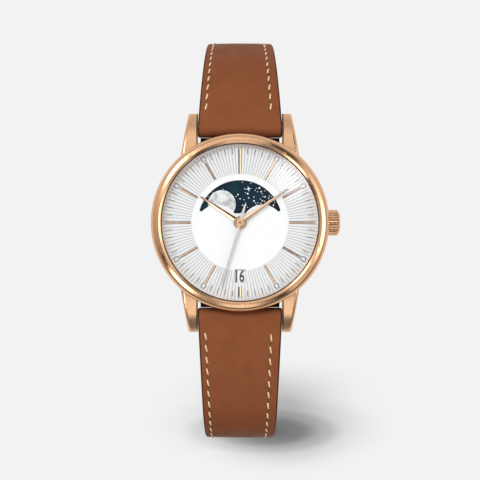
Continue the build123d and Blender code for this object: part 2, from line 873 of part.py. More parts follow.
# The hour hand, pressed on the hour wheel's pipe
with BuildPart() as hour_hand:
    with BuildSketch(hand_plane(hour_hand_angle, hour_pipe_radius, hour_hand_level)):
        facet_section(hand_root_width, hand_thickness)
    with BuildSketch(hand_plane(hour_hand_angle, hour_hand_length, hour_hand_level)):
        facet_section(hand_tip_width, hand_thickness)
    loft(ruled=True)
    ring(hour_boss_radius, hour_pipe_bore_radius, hour_hand_level, hour_hand_level + hand_thickness)
    bore(0, 0, hour_pipe_radius, hour_hand_level, hour_hand_level + hand_thickness)
hour_hand.part.label = "hour_hand"
export_step(hour_hand.part, "parts/hour_hand.step")

# The minute hand, pressed on the cannon pinion
with BuildPart() as minute_hand:
    with BuildSketch(hand_plane(minute_hand_angle, cannon_radius, minute_hand_level)):
        facet_section(hand_root_width, hand_thickness)
    with BuildSketch(hand_plane(minute_hand_angle, minute_hand_length, minute_hand_level)):
        facet_section(hand_tip_width, hand_thickness)
    loft(ruled=True)
    ring(minute_boss_radius, cannon_bore_radius, minute_hand_level, minute_hand_level + hand_thickness)
    bore(0, 0, cannon_radius, minute_hand_level, minute_hand_level + hand_thickness)
minute_hand.part.label = "minute_hand"
export_step(minute_hand.part, "parts/minute_hand.step")

# The second hand with its leaf-shaped tail, pressed on the second wheel's arbor
with BuildPart() as second_hand:
    right_of_hand = (*polar(1, clock_direction(second_hand_angle) - 90), 0)
    second_plane = Plane(origin=(0, 0, second_hand_level), x_dir=right_of_hand, z_dir=(0, 0, 1))
    with BuildSketch(second_plane):
        with BuildLine():
            Polyline(
                (-second_hand_root_width / 2, 0),
                (-second_hand_tip_width / 2, second_hand_length),
                (second_hand_tip_width / 2, second_hand_length),
                (second_hand_root_width / 2, 0),
            )
            ThreePointArc(
                (second_hand_root_width / 2, 0),
                (second_hand_tail_width / 2, -second_hand_tail_length / 2),
                (0, -second_hand_tail_length),
            )
            ThreePointArc(
                (0, -second_hand_tail_length),
                (-second_hand_tail_width / 2, -second_hand_tail_length / 2),
                (-second_hand_root_width / 2, 0),
            )
        make_face()
        Circle(second_boss_radius)
    extrude(amount=second_hand_thickness)
    bore(0, 0, second_arbor_radius, second_hand_level, second_hand_level + second_hand_thickness)
second_hand.part.label = "second_hand"
export_step(second_hand.part, "parts/second_hand.step")

# The mainplate carries the train below and the motion works above
with BuildPart() as mainplate:
    with BuildSketch(Plane.XY.offset(mainplate_level)):
        Circle(movement_radius)
        Circle(cannon_radius + axial_gap, mode=Mode.SUBTRACT)
        with Locations((battery_x, battery_y)):
            Circle(battery_radius + battery_gap, mode=Mode.SUBTRACT)
        with Locations(((coil_core_start + coil_core_end) / 2, coil_y)):
            Rectangle(
                coil_core_end - coil_core_start - 2 * stator_leg_width,
                2 * coil_radius + 2 * battery_gap,
                mode=Mode.SUBTRACT,
            )
        with Locations(Location((resonator_x, resonator_y), resonator_turn)):
            Rectangle(
                resonator_length + 2 * battery_gap,
                2 * resonator_radius + 2 * battery_gap,
                mode=Mode.SUBTRACT,
            )
        with Locations((third_x, third_y), (fifth_x, fifth_y), (rotor_x, rotor_y)):
            Circle(pivot_radius + running_gap, mode=Mode.SUBTRACT)
    extrude(amount=mainplate_thickness)
    with BuildSketch(Plane.XY.offset(bridge_top)):
        with Locations(screw_x_y):
            Circle(pillar_radius)
    extrude(amount=mainplate_level - bridge_top)
    with BuildSketch(Plane.XY.offset(board_level + board_thickness)):
        with Locations(
            polar(board_post_radius, board_start_angle),
            polar(board_post_radius, board_end_angle),
        ):
            Circle(pillar_radius)
    extrude(amount=mainplate_level - board_level - board_thickness)
    with BuildSketch(Plane.XY.offset(mainplate_top)):
        with Locations((minute_x, minute_y), (calendar_x, calendar_y), (setting_x, setting_y)):
            Circle(stud_radius)
    extrude(amount=motion_level + motion_thickness - mainplate_top)
    with BuildSketch(Plane.XY.offset(motion_level + motion_thickness)):
        with Locations((minute_x, minute_y), (calendar_x, calendar_y)):
            Circle(stud_radius)
    extrude(amount=hour_wheel_level - motion_level)
    with BuildSketch(Plane.XY.offset(mainplate_top)):
        with Locations((moon_foot_x, moon_foot_y), (date_foot_x, date_foot_y)):
            Circle(jumper_foot_radius)
        with Locations((yoke_foot_x, yoke_foot_y), (lever_groove_x, lever_pivot_y)):
            Circle(lever_width / 2)
    extrude(amount=lever_level - mainplate_top)
    with BuildSketch(Plane.XY.offset(bridge_top)):
        with Locations(screw_x_y):
            Circle(bridge_screw_radius)
    extrude(amount=mainplate_level - bridge_top, mode=Mode.SUBTRACT)
    with BuildSketch(Plane.YZ.offset(stem_end - axial_gap)):
        with Locations((0, stem_height)):
            pinion_room = 2 * sliding_pinion_radius + 2 * battery_gap
            Rectangle(pinion_room, pinion_room)
    pinion_room_end = sliding_pinion_start + sliding_pinion_length + battery_gap
    extrude(amount=pinion_room_end - stem_end, mode=Mode.SUBTRACT)
    with BuildSketch(Plane.YZ.offset(stem_end)):
        with Locations((0, stem_height)):
            Rectangle(2 * stem_radius + 2 * axial_gap, 2 * stem_radius + 2 * axial_gap)
    extrude(amount=movement_radius, mode=Mode.SUBTRACT)
mainplate.part.label = "mainplate"
export_step(mainplate.part, "parts/mainplate.step")

# The train bridge holds the lower pivots of the train
with BuildPart() as train_bridge:
    with BuildSketch(Plane.XY.offset(bridge_level)):
        for start_x, start_y in [(third_x, third_y), (fifth_x, fifth_y), screw_x_y[2]]:
            with BuildLine():
                Line((0, 0), (start_x, start_y))
            trace(line_width=bridge_arm_width)
        for (start_x, start_y), (end_x, end_y) in [
            ((third_x, third_y), screw_x_y[0]),
            ((fifth_x, fifth_y), (rotor_x, rotor_y)),
            ((rotor_x, rotor_y), screw_x_y[1]),
        ]:
            with BuildLine():
                Line((start_x, start_y), (end_x, end_y))
            trace(line_width=bridge_arm_width)
        with Locations([(0, 0), (third_x, third_y), (fifth_x, fifth_y), (rotor_x, rotor_y)] + screw_x_y):
            Circle(bridge_arm_width / 2)
        with Locations((0, 0)):
            Circle(second_arbor_radius + running_gap, mode=Mode.SUBTRACT)
        with Locations((third_x, third_y), (fifth_x, fifth_y), (rotor_x, rotor_y)):
            Circle(pivot_radius + running_gap, mode=Mode.SUBTRACT)
        with Locations(screw_x_y):
            Circle(bridge_screw_radius, mode=Mode.SUBTRACT)
    extrude(amount=bridge_thickness)
train_bridge.part.label = "train_bridge"
export_step(train_bridge.part, "parts/train_bridge.step")

# Three screws hold the bridge on the mainplate's pillars
with BuildPart() as bridge_screws:
    with BuildSketch(Plane.XY.offset(bridge_level - bridge_screw_head_height)):
        with Locations(screw_x_y):
            Circle(bridge_screw_head_radius)
    extrude(amount=bridge_screw_head_height)
    with BuildSketch(Plane.XY.offset(bridge_level)):
        with Locations(screw_x_y):
            Circle(bridge_screw_radius)
    extrude(amount=mainplate_level - bridge_level)
    with BuildSketch(Plane.XY.offset(bridge_level - bridge_screw_head_height)):
        with Locations(screw_x_y):
            Rectangle(pivot_radius, 2 * bridge_screw_head_radius)
    extrude(amount=bridge_screw_head_height / 2, mode=Mode.SUBTRACT)
bridge_screws.part.label = "bridge_screws"
export_step(bridge_screws.part, "parts/bridge_screws.step")

# The button cell, a can with a smaller stepped cap
with BuildPart() as battery:
    with BuildSketch(Plane.XY.offset(battery_level)):
        with Locations((battery_x, battery_y)):
            Circle(battery_radius)
    extrude(amount=battery_height - battery_cap_height)
    fillet(battery.edges().group_by(Axis.Z)[0], battery_cap_height)
    with BuildSketch(Plane.XY.offset(battery_level + battery_height - battery_cap_height)):
        with Locations((battery_x, battery_y)):
            Circle(battery_radius - 2 * battery_cap_height)
    extrude(amount=battery_cap_height)
battery.part.label = "battery"
export_step(battery.part, "parts/battery.step")

# The clamp presses on the cell from a foot on the bridge
with BuildPart() as battery_clamp:
    with BuildSketch(Plane.XY.offset(battery_level - clamp_thickness)):
        with BuildLine():
            Polyline((battery_x, battery_y), clamp_foot)
        trace(line_width=clamp_width)
        with Locations((battery_x, battery_y), clamp_foot):
            Circle(clamp_width / 2)
    extrude(amount=clamp_thickness)
    with BuildSketch(Plane.XY.offset(battery_level)):
        with Locations(clamp_foot):
            Circle(clamp_width / 2)
    extrude(amount=bridge_level - battery_level)
battery_clamp.part.label = "battery_clamp"
export_step(battery_clamp.part, "parts/battery_clamp.step")

# The circuit board, a sector on two posts of the mainplate
with BuildPart() as circuit_board:
    with BuildSketch(Plane.XY.offset(board_level)):
        with BuildLine():
            CenterArc((0, 0), board_outer_radius, board_start_angle - board_margin_angle, board_arc)
            CenterArc((0, 0), board_inner_radius, board_start_angle - board_margin_angle, board_arc)
            Line(
                polar(board_inner_radius, board_start_angle - board_margin_angle),
                polar(board_outer_radius, board_start_angle - board_margin_angle),
            )
            Line(
                polar(board_inner_radius, board_end_angle + board_margin_angle),
                polar(board_outer_radius, board_end_angle + board_margin_angle),
            )
        make_face()
    extrude(amount=board_thickness)
circuit_board.part.label = "circuit_board"
export_step(circuit_board.part, "parts/circuit_board.step")

# The quartz resonator, a small can that lies on the board
with BuildPart() as quartz_resonator:
    resonator_axis = Plane(
        origin=(resonator_x, resonator_y, board_level + board_thickness + resonator_radius),
        x_dir=(-sin(radians(resonator_turn)), cos(radians(resonator_turn)), 0),
        z_dir=(cos(radians(resonator_turn)), sin(radians(resonator_turn)), 0),
    )
    with BuildSketch(resonator_axis):
        Circle(resonator_radius)
    extrude(amount=resonator_length / 2, both=True)
    fillet(quartz_resonator.edges(), resonator_radius / 4)
quartz_resonator.part.label = "quartz_resonator"
export_step(quartz_resonator.part, "parts/quartz_resonator.step")

# The coil: a flat core and its winding
with BuildPart() as coil_core:
    with BuildSketch(Plane.XY.offset(coil_core_level)):
        with Locations(((coil_core_start + coil_core_end) / 2, coil_y)):
            Rectangle(coil_core_end - coil_core_start, coil_core_width)
    extrude(amount=coil_core_thickness)
coil_core.part.label = "coil_core"
export_step(coil_core.part, "parts/coil_core.step")

with BuildPart() as coil_winding:
    with BuildSketch(Plane.YZ.offset(coil_start)):
        with Locations((coil_y, coil_core_level + coil_core_thickness / 2)):
            Circle(coil_radius)
            Rectangle(coil_core_width, coil_core_thickness, mode=Mode.SUBTRACT)
    extrude(amount=coil_end - coil_start)
coil_winding.part.label = "coil_winding"
export_step(coil_winding.part, "parts/coil_winding.step")

# The stator, two legs from the coil core's ends to the rotor's hole
with BuildPart() as stator:
    with BuildSketch(Plane.XY.offset(stator_level)):
        for end_x in (coil_core_start + stator_leg_width / 2, coil_core_end - stator_leg_width / 2):
            with BuildLine():
                Line((rotor_x, rotor_y), (end_x, coil_y))
            trace(line_width=stator_leg_width)
        with Locations((rotor_x, rotor_y)):
            Circle(stator_hub_radius)
            Circle(rotor_magnet_radius + rotor_gap, mode=Mode.SUBTRACT)
    extrude(amount=stator_thickness)
stator.part.label = "stator"
export_step(stator.part, "parts/stator.step")

# Tooth phases, each wheel's from the wheel that drives it
rotor_pinion_phase = meshing_phase(fifth_wheel_teeth, 0, rotor_pinion_teeth, rotor_angle)
second_wheel_phase = meshing_phase(fifth_pinion_teeth, 0, second_wheel_teeth, fifth_angle + 180)
third_wheel_phase = meshing_phase(second_pinion_teeth, 0, third_wheel_teeth, third_angle)
centre_wheel_phase = meshing_phase(third_pinion_teeth, 0, centre_wheel_teeth, third_angle + 180)
minute_wheel_phase = meshing_phase(cannon_teeth, 0, minute_wheel_teeth, minute_wheel_angle)
setting_wheel_phase = meshing_phase(minute_wheel_teeth, minute_wheel_phase, setting_wheel_teeth, 0)
hour_wheel_phase = meshing_phase(minute_pinion_teeth, 0, hour_wheel_teeth, minute_wheel_angle + 180)
calendar_wheel_phase = meshing_phase(
    hour_wheel_teeth, hour_wheel_phase, calendar_wheel_teeth, calendar_angle
)

# The rotor: a magnet on a pinion
with BuildPart() as rotor:
    rotor_pinion_top = third_wheel_level + pinion_thickness
    arbor(
        rotor_x,
        rotor_y,
        [
            (pivot_bottom, pivot_top, pivot_radius),
            (rotor_pinion_top, rotor_pinion_top + rotor_magnet_height, rotor_magnet_radius),
        ],
    )
    toothed_wheel(
        rotor_x,
        rotor_y,
        rotor_pinion_teeth,
        fine_module,
        rotor_pinion_phase,
        third_wheel_level - axial_gap,
        pinion_thickness + axial_gap,
    )
rotor.part.label = "rotor"
export_step(rotor.part, "parts/rotor.step")

# The fifth wheel between the rotor and the second wheel
with BuildPart() as fifth_wheel:
    arbor(fifth_x, fifth_y, [(pivot_bottom, pivot_top, pivot_radius)])
    toothed_wheel(
        fifth_x, fifth_y, fifth_wheel_teeth, fine_module, 0, third_wheel_level, wheel_thickness
    )
    toothed_wheel(
        fifth_x,
        fifth_y,
        fifth_pinion_teeth,
        fine_module,
        0,
        second_wheel_level - axial_gap,
        third_wheel_level - second_wheel_level + axial_gap,
    )
fifth_wheel.part.label = "fifth_wheel"
export_step(fifth_wheel.part, "parts/fifth_wheel.step")

# The second wheel, whose long arbor carries the second hand
with BuildPart() as second_wheel:
    arbor(0, 0, [(pivot_bottom, second_hand_level + second_hand_thickness, second_arbor_radius)])
    toothed_wheel(
        0, 0, second_wheel_teeth, fine_module, second_wheel_phase, second_wheel_level, wheel_thickness
    )
    toothed_wheel(
        0,
        0,
        second_pinion_teeth,
        third_module,
        0,
        second_wheel_level + wheel_thickness,
        centre_wheel_level - second_wheel_level - wheel_thickness - 2 * axial_gap,
    )
second_wheel.part.label = "second_wheel"
export_step(second_wheel.part, "parts/second_wheel.step")

# The third wheel between the second wheel and the centre wheel
with BuildPart() as third_wheel:
    arbor(third_x, third_y, [(pivot_bottom, pivot_top, pivot_radius)])
    toothed_wheel(
        third_x,
        third_y,
        third_wheel_teeth,
        third_module,
        third_wheel_phase,
        third_wheel_level,
        wheel_thickness,
    )
    toothed_wheel(
        third_x,
        third_y,
        third_pinion_teeth,
        centre_module,
        0,
        third_wheel_level + wheel_thickness,
        mainplate_level - axial_gap - third_wheel_level - wheel_thickness,
    )
third_wheel.part.label = "third_wheel"
export_step(third_wheel.part, "parts/third_wheel.step")

# The centre wheel and its cannon pinion, which carries the minute hand
with BuildPart() as centre_wheel:
    cannon_top = minute_hand_level + hand_thickness
    arbor(0, 0, [(centre_wheel_level, cannon_top, cannon_radius)])
    toothed_wheel(
        0, 0, centre_wheel_teeth, centre_module, centre_wheel_phase, centre_wheel_level, wheel_thickness
    )
    toothed_wheel(0, 0, cannon_teeth, motion_module, 0, motion_level, motion_thickness)
    bore(0, 0, cannon_bore_radius, centre_wheel_level, cannon_top)
centre_wheel.part.label = "centre_wheel"
export_step(centre_wheel.part, "parts/centre_wheel.step")

# The minute wheel and its pinion
with BuildPart() as minute_wheel:
    toothed_wheel(
        minute_x,
        minute_y,
        minute_wheel_teeth,
        motion_module,
        minute_wheel_phase,
        motion_level,
        motion_thickness,
    )
    toothed_wheel(
        minute_x,
        minute_y,
        minute_pinion_teeth,
        hour_module,
        0,
        motion_level + motion_thickness,
        hour_wheel_level - motion_level,
    )
    bore(minute_x, minute_y, stud_radius + running_gap, motion_level, date_disc_level)
minute_wheel.part.label = "minute_wheel"
export_step(minute_wheel.part, "parts/minute_wheel.step")

# The hour wheel, whose pipe carries the hour hand
with BuildPart() as hour_wheel:
    hour_pipe_top = hour_hand_level + hand_thickness
    arbor(0, 0, [(hour_wheel_level, hour_pipe_top, hour_pipe_radius)])
    toothed_wheel(
        0, 0, hour_wheel_teeth, hour_module, hour_wheel_phase, hour_wheel_level, motion_thickness
    )
    bore(0, 0, hour_pipe_bore_radius, hour_wheel_level, hour_pipe_top)
hour_wheel.part.label = "hour_wheel"
export_step(hour_wheel.part, "parts/hour_wheel.step")

# The setting wheel between the sliding pinion and the minute wheel
with BuildPart() as setting_wheel:
    toothed_wheel(
        setting_x,
        setting_y,
        setting_wheel_teeth,
        motion_module,
        setting_wheel_phase,
        motion_level,
        motion_thickness,
    )
    bore(setting_x, setting_y, stud_radius + running_gap, motion_level, date_disc_level)
setting_wheel.part.label = "setting_wheel"
export_step(setting_wheel.part, "parts/setting_wheel.step")

# The calendar wheel turns once a day; its finger steps both discs
with BuildPart() as calendar_wheel:
    toothed_wheel(
        calendar_x,
        calendar_y,
        calendar_wheel_teeth,
        hour_module,
        calendar_wheel_phase,
        hour_wheel_level,
        motion_thickness,
    )
    arbor(calendar_x, calendar_y, [(hour_wheel_level, finger_top, finger_hub_radius)])
    finger_base = date_disc_level
    with BuildSketch(Plane.XY.offset(finger_base)):
        with Locations(Location((calendar_x, calendar_y), calendar_angle + 90)):
            with Locations((finger_length / 2, 0)):
                Rectangle(finger_length, finger_width)
    extrude(amount=finger_top - finger_base)
    bore(calendar_x, calendar_y, stud_radius + running_gap, hour_wheel_level, calendar_stud_top)
calendar_wheel.part.label = "calendar_wheel"
export_step(calendar_wheel.part, "parts/calendar_wheel.step")

# The calendar plate carries the date disc and holds the dial's rim
with BuildPart() as calendar_plate:
    with BuildSketch(Plane.XY.offset(mainplate_top)):
        Circle(movement_radius)
        Circle(calendar_plate_inner_radius, mode=Mode.SUBTRACT)
    extrude(amount=date_disc_level - axial_gap - mainplate_top)
    ring(
        movement_radius,
        date_disc_outer_radius + axial_gap,
        date_disc_level - axial_gap,
        dial_seat_height,
    )
    with BuildSketch(Plane.XY.offset(mainplate_top)):
        with Locations((calendar_x, calendar_y)):
            Circle(calendar_pocket_radius)
    extrude(amount=hour_wheel_level + motion_thickness + axial_gap - mainplate_top, mode=Mode.SUBTRACT)
    with BuildSketch(Plane.XY.offset(mainplate_top)):
        with Locations((movement_radius - lever_arm / 2, lever_pivot_y / 2)):
            Rectangle(lever_pocket_length, lever_pocket_width)
    extrude(amount=calendar_plate_level - mainplate_top, mode=Mode.SUBTRACT)
    with BuildSketch(Plane.YZ):
        with Locations((0, stem_height)):
            Circle(stem_radius + 2 * axial_gap)
    extrude(amount=case_radius, mode=Mode.SUBTRACT)
calendar_plate.part.label = "calendar_plate"
export_step(calendar_plate.part, "parts/calendar_plate.step")

# The date disc, a ring with inner teeth
with BuildPart() as date_disc:
    with BuildSketch(Plane.XY.offset(date_disc_level)):
        Circle(date_disc_outer_radius)
        Circle(date_disc_inner_radius, mode=Mode.SUBTRACT)
        with PolarLocations(
            date_disc_inner_radius - date_tooth_height / 2, date_tooth_count, start_angle=date_phase
        ):
            Rectangle(2 * date_tooth_height, date_tooth_height)
    extrude(amount=date_disc_thickness)
date_disc.part.label = "date_disc"
export_step(date_disc.part, "parts/date_disc.step")

# The moon disc: a printed disc with a toothed hub below
with BuildPart() as moon_disc:
    with BuildSketch(Plane.XY.offset(moon_disc_level)):
        Circle(moon_disc_radius)
        Circle(moon_bore_radius, mode=Mode.SUBTRACT)
    extrude(amount=moon_disc_thickness)
    with BuildSketch(Plane.XY.offset(date_disc_level)):
        Circle(moon_hub_radius - moon_tooth_height)
        with PolarLocations(
            moon_hub_radius - moon_tooth_height, moon_tooth_count, start_angle=moon_phase
        ):
            Rectangle(2 * moon_tooth_height, moon_tooth_height / 2)
        Circle(moon_bore_radius, mode=Mode.SUBTRACT)
    extrude(amount=moon_disc_level - date_disc_level)
    with BuildSketch(Plane.XY.offset(moon_disc_top - moon_inlay_thickness)):
        with PolarLocations(moon_path_radius, 2, start_angle=moon_angle):
            Circle(moon_radius)
    extrude(amount=moon_inlay_thickness, mode=Mode.SUBTRACT)
moon_disc.part.label = "moon_disc"
export_step(moon_disc.part, "parts/moon_disc.step")

# The two moons laid into the disc, one showing while the other is hidden
with BuildPart() as moons:
    with BuildSketch(Plane.XY.offset(moon_disc_top - moon_inlay_thickness)):
        with PolarLocations(moon_path_radius, 2, start_angle=moon_angle):
            Circle(moon_radius)
    extrude(amount=moon_inlay_thickness)
moons.part.label = "moons"
export_step(moons.part, "parts/moons.step")

# The jumpers, thin springs whose beaks rest between the discs' teeth
with BuildPart() as date_jumper:
    with BuildSketch(Plane.XY.offset(lever_level)):
        with Locations((date_foot_x, date_foot_y)):
            Circle(jumper_foot_radius)
    extrude(amount=date_disc_level - lever_level)
    with BuildSketch(Plane.XY.offset(date_disc_level)):
        with Locations((date_foot_x, date_foot_y)):
            Circle(jumper_foot_radius)
        with BuildLine():
            ThreePointArc(
                (date_foot_x, date_foot_y),
                polar(date_jumper_mid_radius, (date_jumper_foot_angle + date_jumper_tip_angle) / 2),
                polar(date_jumper_neck_radius, date_jumper_tip_angle),
            )
        trace(line_width=jumper_width)
        with BuildLine():
            Line(
                polar(date_jumper_neck_radius, date_jumper_tip_angle),
                polar(date_disc_inner_radius - jumper_width, date_jumper_tip_angle),
            )
        trace(line_width=jumper_width)
    extrude(amount=date_disc_thickness - axial_gap)
date_jumper.part.label = "date_jumper"
export_step(date_jumper.part, "parts/date_jumper.step")

with BuildPart() as moon_jumper:
    with BuildSketch(Plane.XY.offset(lever_level)):
        with Locations((moon_foot_x, moon_foot_y)):
            Circle(jumper_foot_radius)
    extrude(amount=date_disc_level - lever_level)
    with BuildSketch(Plane.XY.offset(date_disc_level)):
        with Locations((moon_foot_x, moon_foot_y)):
            Circle(jumper_foot_radius)
        with BuildLine():
            ThreePointArc(
                (moon_foot_x, moon_foot_y),
                polar(moon_jumper_mid_radius, (moon_jumper_foot_angle + moon_jumper_tip_angle) / 2),
                polar(moon_jumper_neck_radius, moon_jumper_tip_angle),
            )
        trace(line_width=jumper_width)
        with BuildLine():
            Line(
                polar(moon_jumper_neck_radius, moon_jumper_tip_angle),
                polar(moon_hub_radius - moon_tooth_height / 2, moon_jumper_tip_angle),
            )
        trace(line_width=jumper_width / 2)
    extrude(amount=date_disc_thickness - axial_gap)
moon_jumper.part.label = "moon_jumper"
export_step(moon_jumper.part, "parts/moon_jumper.step")

# The setting lever, whose pin drops into the stem's groove
with BuildPart() as setting_lever:
    with BuildSketch(Plane.XY.offset(lever_level)):
        with BuildLine():
            Line((lever_groove_x, lever_pivot_y), (lever_groove_x, 0))
        trace(line_width=lever_width)
        with Locations((lever_groove_x, lever_pivot_y), (lever_groove_x, 0)):
            Circle(lever_width / 2)
    extrude(amount=lever_thickness)
    with BuildSketch(Plane.XY.offset(stem_height + lever_groove_radius + running_gap)):
        with Locations((lever_groove_x, 0)):
            Circle(lever_pin_radius)
    extrude(amount=lever_level - stem_height - lever_groove_radius - running_gap)
setting_lever.part.label = "setting_lever"
export_step(setting_lever.part, "parts/setting_lever.step")

# The yoke, whose pin rests in the sliding pinion's groove
with BuildPart() as yoke:
    yoke_x = sliding_pinion_start + sliding_pinion_length / 2
    with BuildSketch(Plane.XY.offset(stem_height + sliding_pinion_radius + axial_gap)):
        with BuildLine():
            Line((yoke_foot_x, yoke_foot_y), (yoke_x, 0))
        trace(line_width=lever_width)
        with Locations((yoke_foot_x, yoke_foot_y), (yoke_x, 0)):
            Circle(lever_width / 2)
    extrude(amount=lever_thickness - axial_gap)
    with BuildSketch(Plane.XY.offset(stem_height + sliding_pinion_groove_radius + running_gap)):
        with Locations((yoke_x, 0)):
            Circle(lever_pin_radius - running_gap)
    extrude(amount=sliding_pinion_radius - sliding_pinion_groove_radius + axial_gap)
    with BuildSketch(Plane.XY.offset(lever_level)):
        with Locations((yoke_foot_x, yoke_foot_y)):
            Circle(lever_width / 2)
    extrude(amount=stem_height + sliding_pinion_radius + axial_gap - lever_level)
yoke.part.label = "yoke"
export_step(yoke.part, "parts/yoke.step")


def path_length(angles, radii, tail):
    """The strap's length along its arcs and its straight tail."""
    arcs = sum(radius * radians(angles[i + 1] - angles[i]) for i, radius in enumerate(radii))
    return arcs + tail


def path_point(angles, radii, distance):
    """The distance out from the dial's centre, the height and the slope at a distance along a strap."""
    out, height = bar_distance, bar_height
    left = distance
    for i, radius in enumerate(radii):
        turn = min(degrees(left / radius), angles[i + 1] - angles[i])
        first, last = radians(angles[i]), radians(angles[i] + turn)
        out += radius * (sin(last) - sin(first))
        height += radius * (cos(last) - cos(first))
        left -= radius * radians(turn)
        if left <= 0:
            return out, height, angles[i] + turn
    slope = radians(angles[-1])
    return out + left * cos(slope), height - left * sin(slope), angles[-1]


def station_plane(side, angles, radii, distance):
    """The plane across a strap, its X across the strap and its Y towards the wrist."""
    out, height, slope = path_point(angles, radii, distance)
    heading = (0, side * cos(radians(slope)), -sin(radians(slope)))
    return Plane(origin=(0, side * out, height), x_dir=(side, 0, 0), z_dir=heading)


def stations(length):
    """Even distances along a strap, from just outside the spring bar to its end."""
    count = ceil(length / station_step)
    start = bar_radius
    return [start + (length - start) * i / count for i in range(count + 1)]


def share_along(distance, length, first, last):
    """A size that changes evenly along a strap from its first to its last value."""
    return first + (last - first) * distance / length


def width_along(distance, length):
    """The strap's width, which narrows quickly near the lugs and hardly at all near its end."""
    left = max(0, 1 - distance / length)
    return strap_end_width + (strap_width - strap_end_width) * left**strap_taper_power


def layer_section(plane, width, near, far, edge_radius):
    """One strap layer's section between two distances from the seam between the layers."""
    with BuildSketch(plane) as section:
        with Locations((0, (near + far) / 2)):
            Rectangle(width, abs(far - near))
        fillet(section.vertices(), edge_radius)
    return section.sketch


def cross_hole(centre_y, centre_z, radius, width):
    """A hole along X through the part builder that is open."""
    with BuildSketch(Plane.YZ) as section:
        with Locations((centre_y, centre_z)):
            Circle(radius)
    extrude(section.sketch, amount=width / 2 + overrun, both=True, mode=Mode.SUBTRACT)


def cross_round(centre_y, centre_z, radius, width):
    """A round bar along X, joined to the part builder that is open."""
    with BuildSketch(Plane.YZ) as section:
        with Locations((centre_y, centre_z)):
            Circle(radius)
    extrude(section.sketch, amount=width / 2, both=True)


def tongue_slot():
    """The slot in the upper strap's end where the tongue turns on the bar."""
    with BuildSketch(Plane.XY.offset(upper_end_height)) as section:
        with Locations((0, upper_end_distance)):
            Rectangle(tongue_slot_width, 2 * tongue_slot_length)
    extrude(section.sketch, amount=2 * leather_thickness, both=True, mode=Mode.SUBTRACT)


def punch_holes():
    """The row of holes in the lower strap."""
    for hole in range(hole_count):
        distance = lower_length - hole_tip_distance - hole * hole_pitch
        out, height, slope = path_point(lower_angles, lower_radii, distance)
        normal = (0, -sin(radians(slope)), cos(radians(slope)))
        with BuildSketch(Plane(origin=(0, -out, height), x_dir=(1, 0, 0), z_dir=normal)) as section:
            Circle(hole_radius)
        extrude(section.sketch, amount=2 * leather_thickness, both=True, mode=Mode.SUBTRACT)


def round_tip():
    """The rounded end of the lower strap."""
    tip_radius = strap_end_width / 2
    with BuildSketch(Plane.XY.offset(lower_end_height)) as section:
        with Locations((0, -lower_end_distance - tip_radius / 2 + overrun / 2)):
            Rectangle(2 * strap_end_width, tip_radius + overrun)
        with Locations((0, -lower_end_distance - tip_radius)):
            Circle(tip_radius, mode=Mode.SUBTRACT)
    extrude(section.sketch, amount=2 * leather_thickness, both=True, mode=Mode.SUBTRACT)


upper_length = path_length(upper_angles, upper_radii, upper_tail)
lower_length = path_length(lower_angles, lower_radii, lower_tail)
upper_end_distance, upper_end_height = path_point(upper_angles, upper_radii, upper_length)[:2]
lower_end_distance, lower_end_height = path_point(lower_angles, lower_radii, lower_length)[:2]
strap_bore_radius = bar_radius + eye_gap
buckle_bore_radius = buckle_bar_radius + eye_gap
upper_eye_radius = leather_end_thickness

# The 12 o'clock half of the strap: the outer leather, folded round both bars
with BuildPart() as strap_upper:
    upper_sections = []
    for distance in stations(upper_length):
        width = width_along(distance, upper_length)
        thickness = share_along(distance, upper_length, leather_thickness, leather_end_thickness)
        plane = station_plane(1, upper_angles, upper_radii, distance)
        upper_sections.append(layer_section(plane, width, 0, -thickness, strap_edge_radius))
    loft(upper_sections, ruled=True)
    cross_round(bar_distance, bar_height, leather_thickness, strap_width)
    cross_round(upper_end_distance, upper_end_height, upper_eye_radius, strap_end_width)
    cross_hole(bar_distance, bar_height, strap_bore_radius, strap_width)
    cross_hole(upper_end_distance, upper_end_height, buckle_bore_radius, strap_width)
    tongue_slot()
strap_upper.part.label = "strap_upper"
export_step(strap_upper.part, "parts/strap_upper.step")

# Its lining on the wrist side
with BuildPart() as lining_upper:
    upper_lining_sections = []
    for distance in stations(upper_length):
        width = width_along(distance, upper_length)
        plane = station_plane(1, upper_angles, upper_radii, distance)
        upper_lining_sections.append(
            layer_section(plane, width, 0, lining_thickness, lining_thickness / 4)
        )
    loft(upper_lining_sections, ruled=True)
    cross_hole(bar_distance, bar_height, leather_thickness, strap_width)
    cross_hole(upper_end_distance, upper_end_height, upper_eye_radius, strap_width)
    tongue_slot()
lining_upper.part.label = "lining_upper"
export_step(lining_upper.part, "parts/lining_upper.step")

# The 6 o'clock half of the strap, with its holes and rounded tip
with BuildPart() as strap_lower:
    lower_sections = []
    for distance in stations(lower_length):
        width = width_along(distance, lower_length)
        thickness = share_along(distance, lower_length, leather_thickness, leather_end_thickness)
        plane = station_plane(-1, lower_angles, lower_radii, distance)
        lower_sections.append(layer_section(plane, width, 0, -thickness, strap_edge_radius))
    loft(lower_sections, ruled=True)
    cross_round(-bar_distance, bar_height, leather_thickness, strap_width)
    cross_hole(-bar_distance, bar_height, strap_bore_radius, strap_width)
    punch_holes()
    round_tip()
strap_lower.part.label = "strap_lower"
export_step(strap_lower.part, "parts/strap_lower.step")

# Its lining
with BuildPart() as lining_lower:
    lower_lining_sections = []
    for distance in stations(lower_length):
        width = width_along(distance, lower_length)
        plane = station_plane(-1, lower_angles, lower_radii, distance)
        lower_lining_sections.append(
            layer_section(plane, width, 0, lining_thickness, lining_thickness / 4)
        )
    loft(lower_lining_sections, ruled=True)
    cross_hole(-bar_distance, bar_height, leather_thickness, strap_width)
    punch_holes()
    round_tip()
lining_lower.part.label = "lining_lower"
export_step(lining_lower.part, "parts/lining_lower.step")

